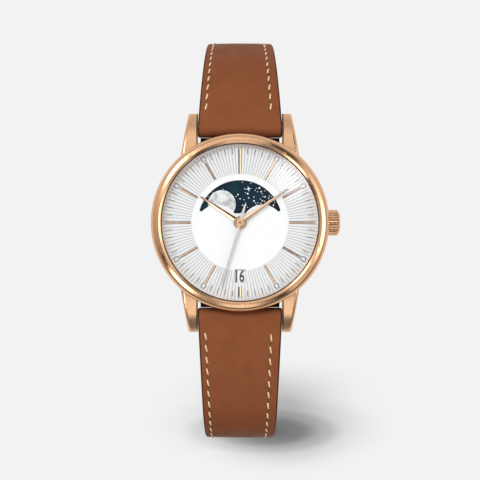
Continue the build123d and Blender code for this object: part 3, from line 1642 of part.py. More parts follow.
# The spring bars, a tube with a thin pin at each end, in the lugs' blind holes
for side, bar_name in ((1, "spring_bar_upper"), (-1, "spring_bar_lower")):
    with BuildPart() as spring_bar:
        cross_round(side * bar_distance, bar_height, bar_radius, strap_width - 2 * axial_gap)
        cross_round(side * bar_distance, bar_height, bar_pin_radius, lug_gap + 2 * bar_pin_length)
    spring_bar.part.label = bar_name
    export_step(spring_bar.part, f"parts/{bar_name}.step")

# The bar of the buckle
with BuildPart() as buckle_bar:
    cross_round(upper_end_distance, upper_end_height, buckle_bar_radius, buckle_width - buckle_wire / 2)
buckle_bar.part.label = "buckle_bar"
export_step(buckle_bar.part, "parts/buckle_bar.step")

# The buckle's frame, open towards the strap
with BuildPart() as buckle_frame:
    frame_front = upper_end_distance - buckle_front_length
    frame_back = upper_end_distance + buckle_ear_length
    frame_level = upper_end_height - buckle_height / 2
    window_width = strap_end_width + 2 * buckle_side_gap
    with BuildSketch(Plane.XY.offset(frame_level)) as frame_outline:
        with Locations((0, (frame_front + frame_back) / 2)):
            Rectangle(buckle_width, frame_back - frame_front)
        fillet(frame_outline.vertices().group_by(Axis.Y)[0], buckle_corner_radius)
        fillet(frame_outline.vertices().group_by(Axis.Y)[-1], buckle_ear_length / 2)
        with Locations((0, (frame_front + frame_back + buckle_wire) / 2 + overrun)):
            window_length = frame_back - frame_front - buckle_wire + 2 * overrun
            Rectangle(window_width, window_length, mode=Mode.SUBTRACT)
    extrude(amount=buckle_height)
    outer_edges = buckle_frame.edges().filter_by(Plane.XY)
    fillet(outer_edges, buckle_edge_radius)
    bar_hole_length = buckle_width - buckle_wire / 2 - 2 * overrun
    cross_hole(upper_end_distance, upper_end_height, buckle_bar_radius, bar_hole_length)
buckle_frame.part.label = "buckle_frame"
export_step(buckle_frame.part, "parts/buckle_frame.step")

# The tongue, bent round the bar and resting on the frame's front
with BuildPart() as buckle_tongue:
    tongue_level = frame_level - axial_gap - tongue_thickness / 2
    with BuildSketch(Plane.YZ):
        with BuildLine():
            Polyline(
                (upper_end_distance, upper_end_height - tongue_eye_radius + tongue_thickness / 2),
                (frame_front + buckle_wire + tongue_thickness, tongue_level),
                (frame_front - tongue_thickness / 2, tongue_level),
            )
        trace(line_width=tongue_thickness)
        with Locations((upper_end_distance, upper_end_height)):
            Circle(tongue_eye_radius)
            Circle(buckle_bar_radius + running_gap, mode=Mode.SUBTRACT)
    extrude(amount=tongue_width / 2, both=True)
    cross_hole(upper_end_distance, upper_end_height, buckle_bar_radius + running_gap, tongue_width)
buckle_tongue.part.label = "buckle_tongue"
export_step(buckle_tongue.part, "parts/buckle_tongue.step")

# The fixed keeper, a leather loop round the upper strap next to the buckle
with BuildPart() as keeper_fixed:
    keeper_start = upper_end_distance + fixed_keeper_distance - keeper_length / 2
    keeper_place = upper_length - fixed_keeper_distance - keeper_length / 2
    keeper_width = width_along(keeper_place, upper_length)
    keeper_leather = share_along(keeper_place, upper_length, leather_thickness, leather_end_thickness)
    loop_low = upper_end_height - keeper_leather - keeper_gap
    loop_high = upper_end_height + lining_thickness + keeper_gap
    with BuildSketch(Plane.XZ.offset(-keeper_start)):
        with Locations((0, (loop_low + loop_high) / 2)):
            RectangleRounded(
                keeper_width + 2 * keeper_gap + 2 * keeper_thickness,
                loop_high - loop_low + 2 * keeper_thickness,
                keeper_thickness,
            )
            Rectangle(keeper_width + 2 * keeper_gap, loop_high - loop_low, mode=Mode.SUBTRACT)
    extrude(amount=-keeper_length)
keeper_fixed.part.label = "keeper_fixed"
export_step(keeper_fixed.part, "parts/keeper_fixed.step")

# The sliding keeper, a loop bent to the strap's curve so that it slides along it
with BuildPart() as keeper_sliding:
    arc_radius = upper_radii[-1]
    arc_y = upper_end_distance + upper_tail
    arc_z = upper_end_height + arc_radius
    widest_place = upper_length - upper_tail - arc_radius * radians(upper_angles[-1] - sliding_keeper_angle)
    widest_place -= arc_radius * radians(sliding_keeper_reach)
    slide_width = width_along(widest_place, upper_length)
    slide_leather = share_along(widest_place, upper_length, leather_thickness, leather_end_thickness)
    half_turn = degrees(keeper_length / 2 / arc_radius)
    start_angle = sliding_keeper_angle - half_turn
    loop_plane = Plane(
        origin=(0, arc_y, arc_z),
        x_dir=(1, 0, 0),
        z_dir=(0, cos(radians(start_angle)), -sin(radians(start_angle))),
    )
    inner_reach = arc_radius - lining_thickness - sliding_keeper_gap
    outer_reach = arc_radius + slide_leather + sliding_keeper_gap
    with BuildSketch(loop_plane):
        with Locations((0, -(inner_reach + outer_reach) / 2)):
            RectangleRounded(
                slide_width + 2 * sliding_keeper_gap + 2 * keeper_thickness,
                outer_reach - inner_reach + 2 * keeper_thickness,
                keeper_thickness,
            )
            Rectangle(
                slide_width + 2 * sliding_keeper_gap, outer_reach - inner_reach, mode=Mode.SUBTRACT
            )
    revolve(axis=Axis((0, arc_y, arc_z), (-1, 0, 0)), revolution_arc=2 * half_turn)
keeper_sliding.part.label = "keeper_sliding"
export_step(keeper_sliding.part, "parts/keeper_sliding.step")

print("strap halves", round(upper_length, 1), round(lower_length, 1))
print("buckle bar", round(upper_end_distance, 3), round(upper_end_height, 3))
print("sliding keeper centre", round(arc_y, 3), round(arc_z, 3))
print("calendar axis", round(calendar_x, 3), round(calendar_y, 3))
print("third, fifth and rotor axes", third_x, third_y, fifth_x, fifth_y, rotor_x, rotor_y)
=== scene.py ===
import math
import random

import bmesh
import bpy
from mathutils import Matrix, Vector


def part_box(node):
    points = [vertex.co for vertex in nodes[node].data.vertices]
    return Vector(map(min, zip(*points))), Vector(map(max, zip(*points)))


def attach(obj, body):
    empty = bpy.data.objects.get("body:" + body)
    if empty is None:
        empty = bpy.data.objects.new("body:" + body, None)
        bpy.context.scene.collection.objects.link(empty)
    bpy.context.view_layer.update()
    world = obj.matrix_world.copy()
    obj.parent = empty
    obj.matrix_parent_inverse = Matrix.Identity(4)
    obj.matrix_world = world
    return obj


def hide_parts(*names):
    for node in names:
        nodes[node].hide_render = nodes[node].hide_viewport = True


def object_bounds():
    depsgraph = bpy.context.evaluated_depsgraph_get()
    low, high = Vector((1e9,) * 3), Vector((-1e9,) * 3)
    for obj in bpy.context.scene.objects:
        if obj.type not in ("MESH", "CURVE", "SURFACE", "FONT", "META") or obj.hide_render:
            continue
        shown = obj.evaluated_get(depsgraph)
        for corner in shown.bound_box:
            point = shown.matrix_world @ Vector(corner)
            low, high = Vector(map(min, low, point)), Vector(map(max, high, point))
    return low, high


# The watch's dressed model. Lengths are in metres; mm is one millimetre.
# The frame's origin is the centre of the case back's outer face, +Z goes out through the dial,
# +Y points to 12 o'clock and +X to the crown.

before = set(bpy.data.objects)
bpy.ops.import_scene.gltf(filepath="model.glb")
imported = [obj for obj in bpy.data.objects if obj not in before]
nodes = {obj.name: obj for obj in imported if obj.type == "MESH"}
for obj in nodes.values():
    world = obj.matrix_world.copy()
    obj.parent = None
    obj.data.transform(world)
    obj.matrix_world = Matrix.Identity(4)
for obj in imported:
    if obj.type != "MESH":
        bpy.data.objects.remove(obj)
cad_low, cad_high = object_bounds()
mm = 0.001

# Driving sizes, the same as those of the solids

DIAL_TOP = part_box("dial")[1].z
DIAL_WINDOW_RADIUS = 14.5 * mm
BAR_DISTANCE = 17.9 * mm
BAR_HEIGHT = 3.0 * mm
BAR_RADIUS = 0.75 * mm
LEATHER = 1.7 * mm
LEATHER_END = 1.3 * mm
LINING = 0.8 * mm
STRAP_WIDTH = 15.8 * mm
STRAP_END_WIDTH = 12.0 * mm
STRAP_TAPER_POWER = 2.2
BUCKLE_BAR_RADIUS = 0.6 * mm
FLOOR_LEVEL = cad_low.z
STEM_HEIGHT = 3.4 * mm
CROWN_RADIUS = 2.415 * mm

# Each strap half: its slopes in degrees where its arcs begin and end, and the arcs' radii and the tail in mm

UPPER_SLOPES, UPPER_RADII, UPPER_TAIL = [20, 90, 180], [28, 19], 6
LOWER_SLOPES, LOWER_RADII, LOWER_TAIL = [4, 24, 90, 180], [46.5, 13.3, 29.4], 11

TAU = 2 * math.pi


class StrapPath:
    """A strap half's centre path: arcs from the spring bar, then a straight tail, in the YZ plane."""

    def __init__(self, side, slopes, radii, tail):
        self.side = side
        self.slopes = [math.radians(a) for a in slopes]
        self.radii = [r * mm for r in radii]
        arcs = [r * (self.slopes[i + 1] - self.slopes[i]) for i, r in enumerate(self.radii)]
        self.length = sum(arcs) + tail * mm

    def at(self, distance):
        """Distance out, height and slope at a distance along the strap."""
        out, height, left = BAR_DISTANCE, BAR_HEIGHT, distance
        slope = self.slopes[0]
        for radius, end in zip(self.radii, self.slopes[1:]):
            turn = min(max(0.0, left) / radius, end - slope)
            out += radius * (math.sin(slope + turn) - math.sin(slope))
            height += radius * (math.cos(slope + turn) - math.cos(slope))
            left -= radius * turn
            slope += turn
            if left <= 0:
                break
        return out + left * math.cos(slope), height - left * math.sin(slope), slope

    def place(self, distance, across, outward):
        """A point at a distance along the strap, across it and outward from its seam."""
        out, height, slope = self.at(distance)
        out += outward * math.sin(slope)
        height += outward * math.cos(slope)
        return Vector((across, self.side * out, height))


upper_path = StrapPath(1, UPPER_SLOPES, UPPER_RADII, UPPER_TAIL)
lower_path = StrapPath(-1, LOWER_SLOPES, LOWER_RADII, LOWER_TAIL)


def leather_at(path, distance):
    """The outer leather's thickness, which thins evenly along the strap."""
    return LEATHER + (LEATHER_END - LEATHER) * max(0.0, distance) / path.length


def width_at(path, distance):
    """The strap's width, which narrows quickly near the lugs and hardly at all near its end."""
    left = min(1.0, max(0.0, 1 - distance / path.length))
    return STRAP_END_WIDTH + (STRAP_WIDTH - STRAP_END_WIDTH) * left**STRAP_TAPER_POWER


# Shader helpers

FINE_RELIEF = 0.02 * mm


def new_material(name, settings):
    """A material, its node tree and its shader, with settings on the shader's own sockets."""
    material = bpy.data.materials.new(name)
    material.use_nodes = True
    tree = material.node_tree
    shader = tree.nodes["Principled BSDF"]
    for socket, value in settings.items():
        shader.inputs[socket].default_value = value
    return material, tree, shader


def feed(value, target):
    """Links an output to an input, or sets the input to a plain value."""
    if isinstance(value, bpy.types.NodeSocket):
        target.id_data.links.new(value, target)
    else:
        target.default_value = value


def paint(value, shader):
    """Gives a shader its colour."""
    feed(value, shader.inputs["Base Color"])


def cover(tree, surface):
    """Makes a shader's output the material's surface."""
    feed(surface, tree.nodes["Material Output"].inputs["Surface"])


def coordinates(tree, kind="Object"):
    return tree.nodes.new("ShaderNodeTexCoord").outputs[kind]


def parts(tree, kind="Object"):
    """The outputs X, Y and Z of a point's coordinates."""
    node = tree.nodes.new("ShaderNodeSeparateXYZ")
    feed(coordinates(tree, kind), node.inputs["Vector"])
    return node.outputs


def maths(tree, operation, *values):
    """The result of a maths node fed with outputs and plain numbers."""
    node = tree.nodes.new("ShaderNodeMath")
    node.operation = operation
    for value, target in zip(values, node.inputs):
        feed(value, target)
    return node.outputs["Value"]


def share(tree, value, start, end, smooth=False, full=1.0):
    """How far a value is from start to end, from 0 to full."""
    node = tree.nodes.new("ShaderNodeMapRange")
    if smooth:
        node.interpolation_type = "SMOOTHSTEP"
    node.inputs["From Min"].default_value = start
    node.inputs["From Max"].default_value = end
    node.inputs["To Max"].default_value = full
    feed(value, node.inputs["Value"])
    return node.outputs["Result"]


def magnitude(tree, vector):
    node = tree.nodes.new("ShaderNodeVectorMath")
    node.operation = "LENGTH"
    feed(vector, node.inputs[0])
    return node.outputs["Value"]


def scaled(tree, scale, shift=(0, 0, 0)):
    """A point's own coordinates, scaled along each axis and then shifted."""
    node = tree.nodes.new("ShaderNodeMapping")
    node.inputs["Location"].default_value = shift
    node.inputs["Scale"].default_value = scale
    feed(coordinates(tree), node.inputs["Vector"])
    return node.outputs["Vector"]


def dial_radius(tree):
    """A point's distance from the watch's axis."""
    return magnitude(tree, scaled(tree, (1, 1, 0)))


def object_noise(tree, scale, detail=3.0, roughness=0.5, stretch=(1, 1, 1)):
    """Noise in the piece's own coordinates, in metres."""
    noise = tree.nodes.new("ShaderNodeTexNoise")
    noise.inputs["Scale"].default_value = scale
    noise.inputs["Detail"].default_value = detail
    noise.inputs["Roughness"].default_value = roughness
    feed(scaled(tree, stretch), noise.inputs["Vector"])
    return noise.outputs["Fac"]


def ramp(tree, value, stops, interpolation="LINEAR"):
    """A colour ramp fed by a value; stops are (place, colour)."""
    node = tree.nodes.new("ShaderNodeValToRGB")
    node.color_ramp.interpolation = interpolation
    elements = node.color_ramp.elements
    while len(elements) > 1:
        elements.remove(elements[-1])
    elements[0].position = stops[0][0]
    elements[0].color = (*stops[0][1], 1)
    for place, colour in stops[1:]:
        element = elements.new(place)
        element.color = (*colour, 1)
    feed(value, node.inputs["Fac"])
    return node.outputs["Color"]


def mottled(tree, noise, low, high):
    """A noise's colours, from one at its low places to another at its high ones."""
    return ramp(tree, noise, [(0.3, low), (0.7, high)])


def mixed(tree, factor, first, second, blend="MIX"):
    """Two colours mixed, each an output or a plain colour."""
    node = tree.nodes.new("ShaderNodeMix")
    node.data_type = "RGBA"
    node.blend_type = blend
    feed(factor, node.inputs["Factor"])
    feed(first, node.inputs[6])
    feed(second, node.inputs[7])
    return node.outputs[2]


def mixed_shaders(tree, factor, first, second):
    node = tree.nodes.new("ShaderNodeMixShader")
    feed(factor, node.inputs["Fac"])
    feed(first, node.inputs[1])
    feed(second, node.inputs[2])
    return node.outputs["Shader"]


def grey(value):
    return (value, value, value)


def shade(colour, value):
    return tuple(value * c for c in colour)


def bump(tree, shader, height, strength, distance):
    node = tree.nodes.new("ShaderNodeBump")
    node.inputs["Strength"].default_value = strength
    node.inputs["Distance"].default_value = distance
    feed(height, node.inputs["Height"])
    feed(node.outputs["Normal"], shader.inputs["Normal"])


# Materials

def metal(name, colour, rough_low, rough_high, scale=900, stretch=(1, 1, 1), relief=0.0):
    """A metal whose colour and polish vary a little over the surface."""
    material, tree, shader = new_material(name, {"Metallic": 1.0})
    noise = object_noise(tree, scale, 4.0, 0.55, stretch)
    paint(mottled(tree, noise, shade(colour, 0.93), colour), shader)
    feed(mottled(tree, noise, grey(rough_low), grey(rough_high)), shader.inputs["Roughness"])
    if relief:
        bump(tree, shader, noise, relief, FINE_RELIEF)
    return material


def plastic(name, colour, roughness, relief=0.1, scale=3000):
    material, tree, shader = new_material(name, {"Roughness": roughness})
    noise = object_noise(tree, scale, 4.0)
    paint(mottled(tree, noise, shade(colour, 0.88), colour), shader)
    bump(tree, shader, noise, relief, FINE_RELIEF)
    return material


def leather(name, colour, dark, roughness=0.52):
    """Smooth leather: cloudy colour, fine pores and a faint grain."""
    material, tree, shader = new_material(name, {"Specular IOR Level": 0.06})
    clouds = object_noise(tree, 260, 5.0, 0.6)
    colours = ramp(tree, clouds, [(0.25, dark), (0.75, colour)])
    pores = tree.nodes.new("ShaderNodeTexVoronoi")
    pores.feature = "F1"
    pores.inputs["Scale"].default_value = 5200
    feed(coordinates(tree), pores.inputs["Vector"])
    pore = pores.outputs["Distance"]
    pore_shade = ramp(tree, pore, [(0.0, grey(0.86)), (0.35, grey(1.0))])
    paint(mixed(tree, 0.6, colours, pore_shade, "MULTIPLY"), shader)
    polish = mottled(tree, clouds, grey(roughness + 0.06), grey(roughness - 0.05))
    feed(polish, shader.inputs["Roughness"])
    grain = object_noise(tree, 2600, 6.0, 0.65)
    bump(tree, shader, maths(tree, "MULTIPLY_ADD", pore, 0.5, grain), 0.22, 0.05 * mm)
    return material


GROOVE_BOTTOM = 0.055 * mm
GROOVE_TOP = 0.02 * mm
WHITE_MIDDLE_RADIUS = 8.9 * mm


def dial_lacquer():
    """White lacquer in the middle, a faintly silvery rim, and grey painted as shade at the bottom of the
    grooves.
    """
    material, tree, shader = new_material("dial_lacquer", {})
    zone = share(tree, dial_radius(tree), WHITE_MIDDLE_RADIUS, DIAL_WINDOW_RADIUS)
    face = ramp(tree, zone, [(0.0, DIAL_WHITE), (0.04, DIAL_SILVER), (1.0, DIAL_SILVER_RIM)])
    height = parts(tree)["Z"]
    # The bottoms of the grooves are painted grey as shade
    ridge = share(tree, height, DIAL_TOP - GROOVE_BOTTOM, DIAL_TOP - GROOVE_TOP)
    paint(mixed(tree, ridge, (*DIAL_GROOVE_PAINTED_SHADE, 1), face), shader)
    grain = object_noise(tree, 9000, 2.0)
    feed(mottled(tree, grain, grey(0.34), grey(0.46)), shader.inputs["Roughness"])
    return material


MOON_STOPS = [
    (0.36, (0.40, 0.41, 0.42)),
    (0.46, (0.55, 0.56, 0.56)),
    (0.52, (0.68, 0.69, 0.68)),
    (0.70, (0.80, 0.80, 0.78)),
]
SKY_STOPS = [
    (0.30, (0.0002, 0.007, 0.018)),
    (0.55, (0.0002, 0.014, 0.028)),
    (0.75, (0.0004, 0.026, 0.038)),
]


def moon_face():
    """A pale moon with soft grey seas and a fine mottle."""
    material, tree, shader = new_material("moon_face", {"Roughness": 0.5})
    seas = ramp(tree, object_noise(tree, 620, 4.0, 0.55), MOON_STOPS, "EASE")
    fine = object_noise(tree, 2600, 5.0, 0.7)
    fine_shade = ramp(tree, fine, [(0.35, grey(0.82)), (0.65, grey(1.05))])
    paint(mixed(tree, 1.0, seas, fine_shade, "MULTIPLY"), shader)
    return material


def night_sky():
    """A dark blue printed sky with a little teal."""
    material, tree, shader = new_material("night_sky", {"Roughness": 0.4, "Specular IOR Level": 0.1})
    paint(ramp(tree, object_noise(tree, 260, 3.0), SKY_STOPS), shader)
    return material


CRYSTAL_IOR = 1.34


def crystal_glass():
    """Thin clear mineral glass: it lets light through and mirrors faintly at its outer surface."""
    material, tree, shader = new_material("crystal_glass", {})
    tree.nodes.remove(shader)
    clear = tree.nodes.new("ShaderNodeBsdfTransparent")
    clear.inputs["Color"].default_value = (0.985, 0.99, 0.99, 1)
    gloss = tree.nodes.new("ShaderNodeBsdfGlossy")
    haze = object_noise(tree, 120, 2.0)
    feed(mottled(tree, haze, grey(0.02), grey(0.05)), gloss.inputs["Roughness"])
    fresnel = tree.nodes.new("ShaderNodeFresnel")
    fresnel.inputs["IOR"].default_value = CRYSTAL_IOR
    surface = tree.nodes.new("ShaderNodeNewGeometry")
    outside = maths(tree, "SUBTRACT", 1.0, surface.outputs["Backfacing"])
    mirrored = maths(tree, "MULTIPLY", fresnel.outputs["Fac"], outside)
    skin = mixed_shaders(tree, mirrored, clear.outputs["BSDF"], gloss.outputs["BSDF"])
    cover(tree, skin)
    return material


def brushed_ring(name, colour):
    """Metal brushed in circles about the watch's axis."""
    material, tree, shader = new_material(name, {"Metallic": 1.0})
    noise = tree.nodes.new("ShaderNodeTexNoise")
    noise.noise_dimensions = "1D"
    noise.inputs["Scale"].default_value = 9000
    noise.inputs["Detail"].default_value = 4
    feed(dial_radius(tree), noise.inputs["W"])
    line = noise.outputs["Fac"]
    paint(mottled(tree, line, shade(colour, 0.86), colour), shader)
    feed(mottled(tree, line, grey(0.22), grey(0.36)), shader.inputs["Roughness"])
    bump(tree, shader, line, 0.15, 0.01 * mm)
    return material


def masked_metal(name, colour, roughness, other, mask):
    """Metal in one colour where a mask is 1, and in another where it is 0."""
    material, tree, shader = new_material(name, {"Metallic": 1.0, "Roughness": roughness})
    colours = mottled(tree, object_noise(tree, 1500, 4.0), shade(colour, 0.93), colour)
    paint(mixed(tree, mask(tree), (*other, 1), colours), shader)
    return material


# The painted shade in the crown's flutes is full below the first depth and gone above the second
FLUTE_DARK_DEPTH = 0.09 * mm
FLUTE_BRIGHT_DEPTH = 0.04 * mm
CROWN_END_DEPTH = 0.35 * mm
LUG_GAP_HALF_WIDTH = 8.0 * mm
LUG_GAP_START = 14 * mm
HAND_HUB_RADIUS = 0.9 * mm


def off_the_flutes(tree):
    """1 on the crown's ribs and on its end, and 0 at the bottom of its flutes, where shade is painted."""
    radius = magnitude(tree, scaled(tree, (0, 1, 1), (0, 0, -STEM_HEIGHT)))
    rib = share(tree, radius, CROWN_RADIUS - FLUTE_DARK_DEPTH, CROWN_RADIUS - FLUTE_BRIGHT_DEPTH)
    out = parts(tree)["X"]
    end = maths(tree, "GREATER_THAN", out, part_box("crown")[1].x - CROWN_END_DEPTH)
    return maths(tree, "MAXIMUM", rib, end)


def outside_lug_gaps(tree):
    """0 on the case's walls that are hidden between the lugs, where shade is painted, and 1 elsewhere."""
    place = parts(tree)
    beside = maths(tree, "GREATER_THAN", maths(tree, "ABSOLUTE", place["X"]), LUG_GAP_HALF_WIDTH)
    between = maths(tree, "LESS_THAN", maths(tree, "ABSOLUTE", place["Y"]), LUG_GAP_START)
    return maths(tree, "MAXIMUM", beside, between)


def beyond_hub(tree):
    """0 on the hub of a hand and 1 on the rest of it."""
    return maths(tree, "GREATER_THAN", dial_radius(tree), HAND_HUB_RADIUS)


ROSE_GOLD = (0.84, 0.49, 0.28)
ROSE_GOLD_TRIM = (0.86, 0.55, 0.36)
ROSE_PALE = (0.74, 0.71, 0.69)
FLUTE_PAINTED_SHADE = (0.05, 0.022, 0.01)
LUG_GAP_PAINTED_SHADE = (0.03, 0.015, 0.01)
BRONZE = (0.50, 0.25, 0.13)
STEEL = (0.62, 0.62, 0.63)
FINE_STEEL = (0.6, 0.6, 0.61)
CELL_STEEL = (0.68, 0.68, 0.69)
MAGNET = (0.2, 0.2, 0.21)
COPPER = (0.6, 0.24, 0.1)
BRASS = (0.72, 0.55, 0.27)
SEAL_BLACK = (0.012, 0.012, 0.012)
HOLDER_WHITE = (0.7, 0.7, 0.66)
BOARD_GREEN = (0.01, 0.09, 0.04)
DATE_WHITE = (0.80, 0.80, 0.78)
STAR_WHITE = (0.85, 0.88, 0.90)
STAR_PINK = (0.80, 0.66, 0.64)
DIAL_WHITE = (0.735, 0.73, 0.735)
DIAL_SILVER = (0.69, 0.69, 0.69)
DIAL_SILVER_RIM = (0.66, 0.66, 0.66)
DIAL_GROOVE_PAINTED_SHADE = (0.42, 0.42, 0.43)
TAN = (0.2, 0.064, 0.025)
TAN_DARK = (0.165, 0.052, 0.020)
EDGE_BROWN = (0.055, 0.020, 0.010)
LINING_TAN = (0.42, 0.27, 0.16)
LINING_TAN_DARK = (0.34, 0.21, 0.12)
THREAD = (0.70, 0.50, 0.30)
STITCH_HOLE_PAINTED_SHADE = (0.02, 0.010, 0.006)
PRINT_GREY = (0.045, 0.045, 0.05)

rose_gold = metal("rose_gold_polished", ROSE_GOLD, 0.10, 0.15)
rose_gold_trim = metal("rose_gold_trim", ROSE_GOLD_TRIM, 0.12, 0.18, 1500)
# The case's walls between the lugs are painted dark as shade
gold_shaded_between_lugs = masked_metal("rose_gold_case_painted_shade", ROSE_GOLD, 0.2, LUG_GAP_PAINTED_SHADE, outside_lug_gaps)
baton_gold = metal("rose_gold_baton", shade(ROSE_GOLD_TRIM, 0.8), 0.24, 0.32)
# A much darker copy of the trim gold, painted shade for the markers' sides
baton_painted_shade = metal("rose_gold_baton_painted_shade", shade(ROSE_GOLD_TRIM, 0.12), 0.3, 0.4)
arbor_bronze = metal("arbor_bronze", BRONZE, 0.25, 0.4)
# The crown's flute bottoms are painted dark as shade
crown_gold = masked_metal("rose_gold_ribbed_painted_shade", ROSE_GOLD, 0.2, FLUTE_PAINTED_SHADE, off_the_flutes)
rose_pale = masked_metal("rose_gold_pale", ROSE_PALE, 0.38, ROSE_GOLD_TRIM, beyond_hub)
steel = metal("steel_satin", STEEL, 0.22, 0.34, 1800, (1, 1, 1), 0.1)
back_steel = brushed_ring("steel_brushed", STEEL)
movement_steel = metal("steel_fine", FINE_STEEL, 0.2, 0.3, 2500, (1, 4, 1), 0.08)
brass = metal("brass_satin", BRASS, 0.25, 0.38, 2500, (1, 4, 1), 0.08)
cell_steel = metal("cell_steel", CELL_STEEL, 0.12, 0.2, 1200)
magnet = metal("magnet", MAGNET, 0.35, 0.5, 3000, (1, 1, 1), 0.2)
copper = metal("coil_copper", COPPER, 0.3, 0.4, 800, (24, 1, 1), 0.5)
gasket = plastic("black_seal", SEAL_BLACK, 0.55)
holder = plastic("white_holder", HOLDER_WHITE, 0.5)
board = plastic("green_board", BOARD_GREEN, 0.35)
date_white = plastic("date_white", DATE_WHITE, 0.45, 0.02)
print_ink = plastic("print_ink", PRINT_GREY, 0.5, 0.02)
star_ink = plastic("star_ink", STAR_WHITE, 0.5, 0.02)
pink_ink = plastic("star_ink_warm", STAR_PINK, 0.5, 0.02)
tan_leather = leather("tan_leather", TAN, TAN_DARK)
edge_paint = leather("edge_paint", EDGE_BROWN, shade(EDGE_BROWN, 0.7), 0.45)
lining_leather = leather("lining_leather", LINING_TAN, LINING_TAN_DARK, 0.7)
thread = plastic("cream_thread", THREAD, 0.7, 0.5, 9000)
stitch_hole_painted_shade = plastic("stitch_hole_painted_shade", STITCH_HOLE_PAINTED_SHADE, 0.8)
dial_white = dial_lacquer()
moon_print = moon_face()
sky_print = night_sky()
glass = crystal_glass()

NODE_MATERIALS = {
    rose_gold: ["bezel", "dial_ring"],
    gold_shaded_between_lugs: ["mid_case"],
    crown_gold: ["crown"],
    rose_gold_trim: ["hour_markers", "hour_hand", "minute_hand", "buckle_frame", "buckle_tongue"],
    rose_pale: ["second_hand"],
    glass: ["crystal"],
    gasket: ["crystal_gasket", "case_back_gasket", "crown_gasket"],
    back_steel: ["case_back"],
    steel: [
        "case_back_screws", "crown_tube", "winding_stem", "bridge_screws",
        "spring_bar_upper", "spring_bar_lower", "buckle_bar",
    ],
    movement_steel: [
        "sliding_pinion", "battery_clamp", "coil_core", "stator", "setting_wheel",
        "date_jumper", "moon_jumper", "setting_lever", "yoke",
    ],
    brass: [
        "mainplate", "train_bridge", "fifth_wheel", "third_wheel", "minute_wheel", "hour_wheel",
        "calendar_wheel", "calendar_plate",
    ],
    magnet: ["rotor"],
    copper: ["coil_winding"],
    cell_steel: ["battery", "quartz_resonator"],
    board: ["circuit_board"],
    holder: ["movement_holder"],
    dial_white: ["dial"],
    sky_print: ["moon_disc"],
    moon_print: ["moons"],
    date_white: ["date_disc"],
    arbor_bronze: ["second_wheel", "centre_wheel"],
}

for material, names in NODE_MATERIALS.items():
    for name in names:
        for material_slot in nodes[name].material_slots:
            material_slot.material = material


# Mesh helpers

def new_object(name, data):
    thing = bpy.data.objects.new(name, data)
    bpy.context.scene.collection.objects.link(thing)
    return thing


def new_piece(name, vertices, faces, materials, body, face_materials=None, smooth=True):
    """A mesh piece that rides on a body."""
    mesh = bpy.data.meshes.new(name)
    mesh.from_pydata([tuple(v) for v in vertices], [], faces)
    for material in materials:
        mesh.materials.append(material)
    if face_materials:
        mesh.polygons.foreach_set("material_index", face_materials)
    mesh.update()
    tidy = bmesh.new()
    tidy.from_mesh(mesh)
    bmesh.ops.recalc_face_normals(tidy, faces=tidy.faces)
    tidy.to_mesh(mesh)
    tidy.free()
    if smooth:
        mesh.shade_smooth()
    piece = new_object(name, mesh)
    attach(piece, body)
    return piece


def add_tube_faces(faces, base, rings, sides):
    """The faces of a tube of stacked rings whose vertices start at base, with its two caps."""
    for i in range(rings - 1):
        for j in range(sides):
            a = base + i * sides + j
            b = base + i * sides + (j + 1) % sides
            faces.append((a, b, b + sides, a + sides))
    faces.append(tuple(range(base + sides - 1, base - 1, -1)))
    faces.append(tuple(range(base + (rings - 1) * sides, base + rings * sides)))


def lofted(rings):
    """Vertices and faces of a skin through rings of equal length, capped at both ends."""
    vertices = [point for ring in rings for point in ring]
    faces = []
    add_tube_faces(faces, 0, len(rings), len(rings[0]))
    return vertices, faces


def circle(radius, sides, centre=(0, 0)):
    """Points evenly round a circle."""
    angles = [TAU * j / sides for j in range(sides)]
    return [(centre[0] + radius * math.cos(a), centre[1] + radius * math.sin(a)) for a in angles]


def ready_mesh(name, make, **sizes):
    """A mesh of one of Blender's ready shapes."""
    mesh = bpy.data.meshes.new(name)
    shape = bmesh.new()
    make(shape, **sizes)
    shape.to_mesh(mesh)
    shape.free()
    return mesh


# Strap halves

STEP_ALONG = 0.5 * mm
EDGE_ROUND = 0.42 * mm
EDGE_STEPS = 5
ACROSS_STEPS = 28
FOLD_STEPS = 16
FLAP_STEPS = 8
FLAP_LENGTH = 5.0 * mm
FLAP_DEPTH = 0.42 * mm
FOLD_GAP = 0.1 * mm
FOLD_BULGE = 0.2 * mm
FLAP_NARROWING = 0.3 * mm
FLAP_TIP_SHARE = 0.3
FLAP_DIVE_POWER = 1.8
ARCH_HEIGHT = 0.12 * mm
ARCH_START = 3 * mm
TIP_STEPS = 24
NARROWEST = 0.3 * mm
LINING_START = 1.5 * mm
LINING_TO_BAR = 1.35 * mm
LINING_INSET = 0.08 * mm
CHANNEL_DEPTH = 0.08 * mm
CHANNEL_HALF_WIDTH = 0.5 * mm
CHANNEL_RUN_OUT = 1 * mm


def layer_shape(width, low, high, arch=0.0, channels=()):
    """A layer's section as (across, outward) points: arched, with round upper corners and stitch channels."""
    half = width / 2
    rounding = min(EDGE_ROUND, 0.45 * (high - low))
    top = []
    for i in range(ACROSS_STEPS + 1):
        u = (half - rounding) * (2 * i / ACROSS_STEPS - 1)
        v = high - arch * (u / half) ** 2
        for channel in channels:
            gap = abs(u - channel) / CHANNEL_HALF_WIDTH
            if gap < 1:
                v -= CHANNEL_DEPTH * (0.5 + 0.5 * math.cos(math.pi * gap))
        top.append((u, v))
    right = []
    for i in range(1, EDGE_STEPS + 1):
        angle = math.pi / 2 * i / EDGE_STEPS
        v = top[-1][1] - rounding + rounding * math.cos(angle)
        right.append((half - rounding + rounding * math.sin(angle), v))
    left = [(-u, v) for u, v in reversed(right)]
    return left + top + right + [(half, low), (-half, low)]


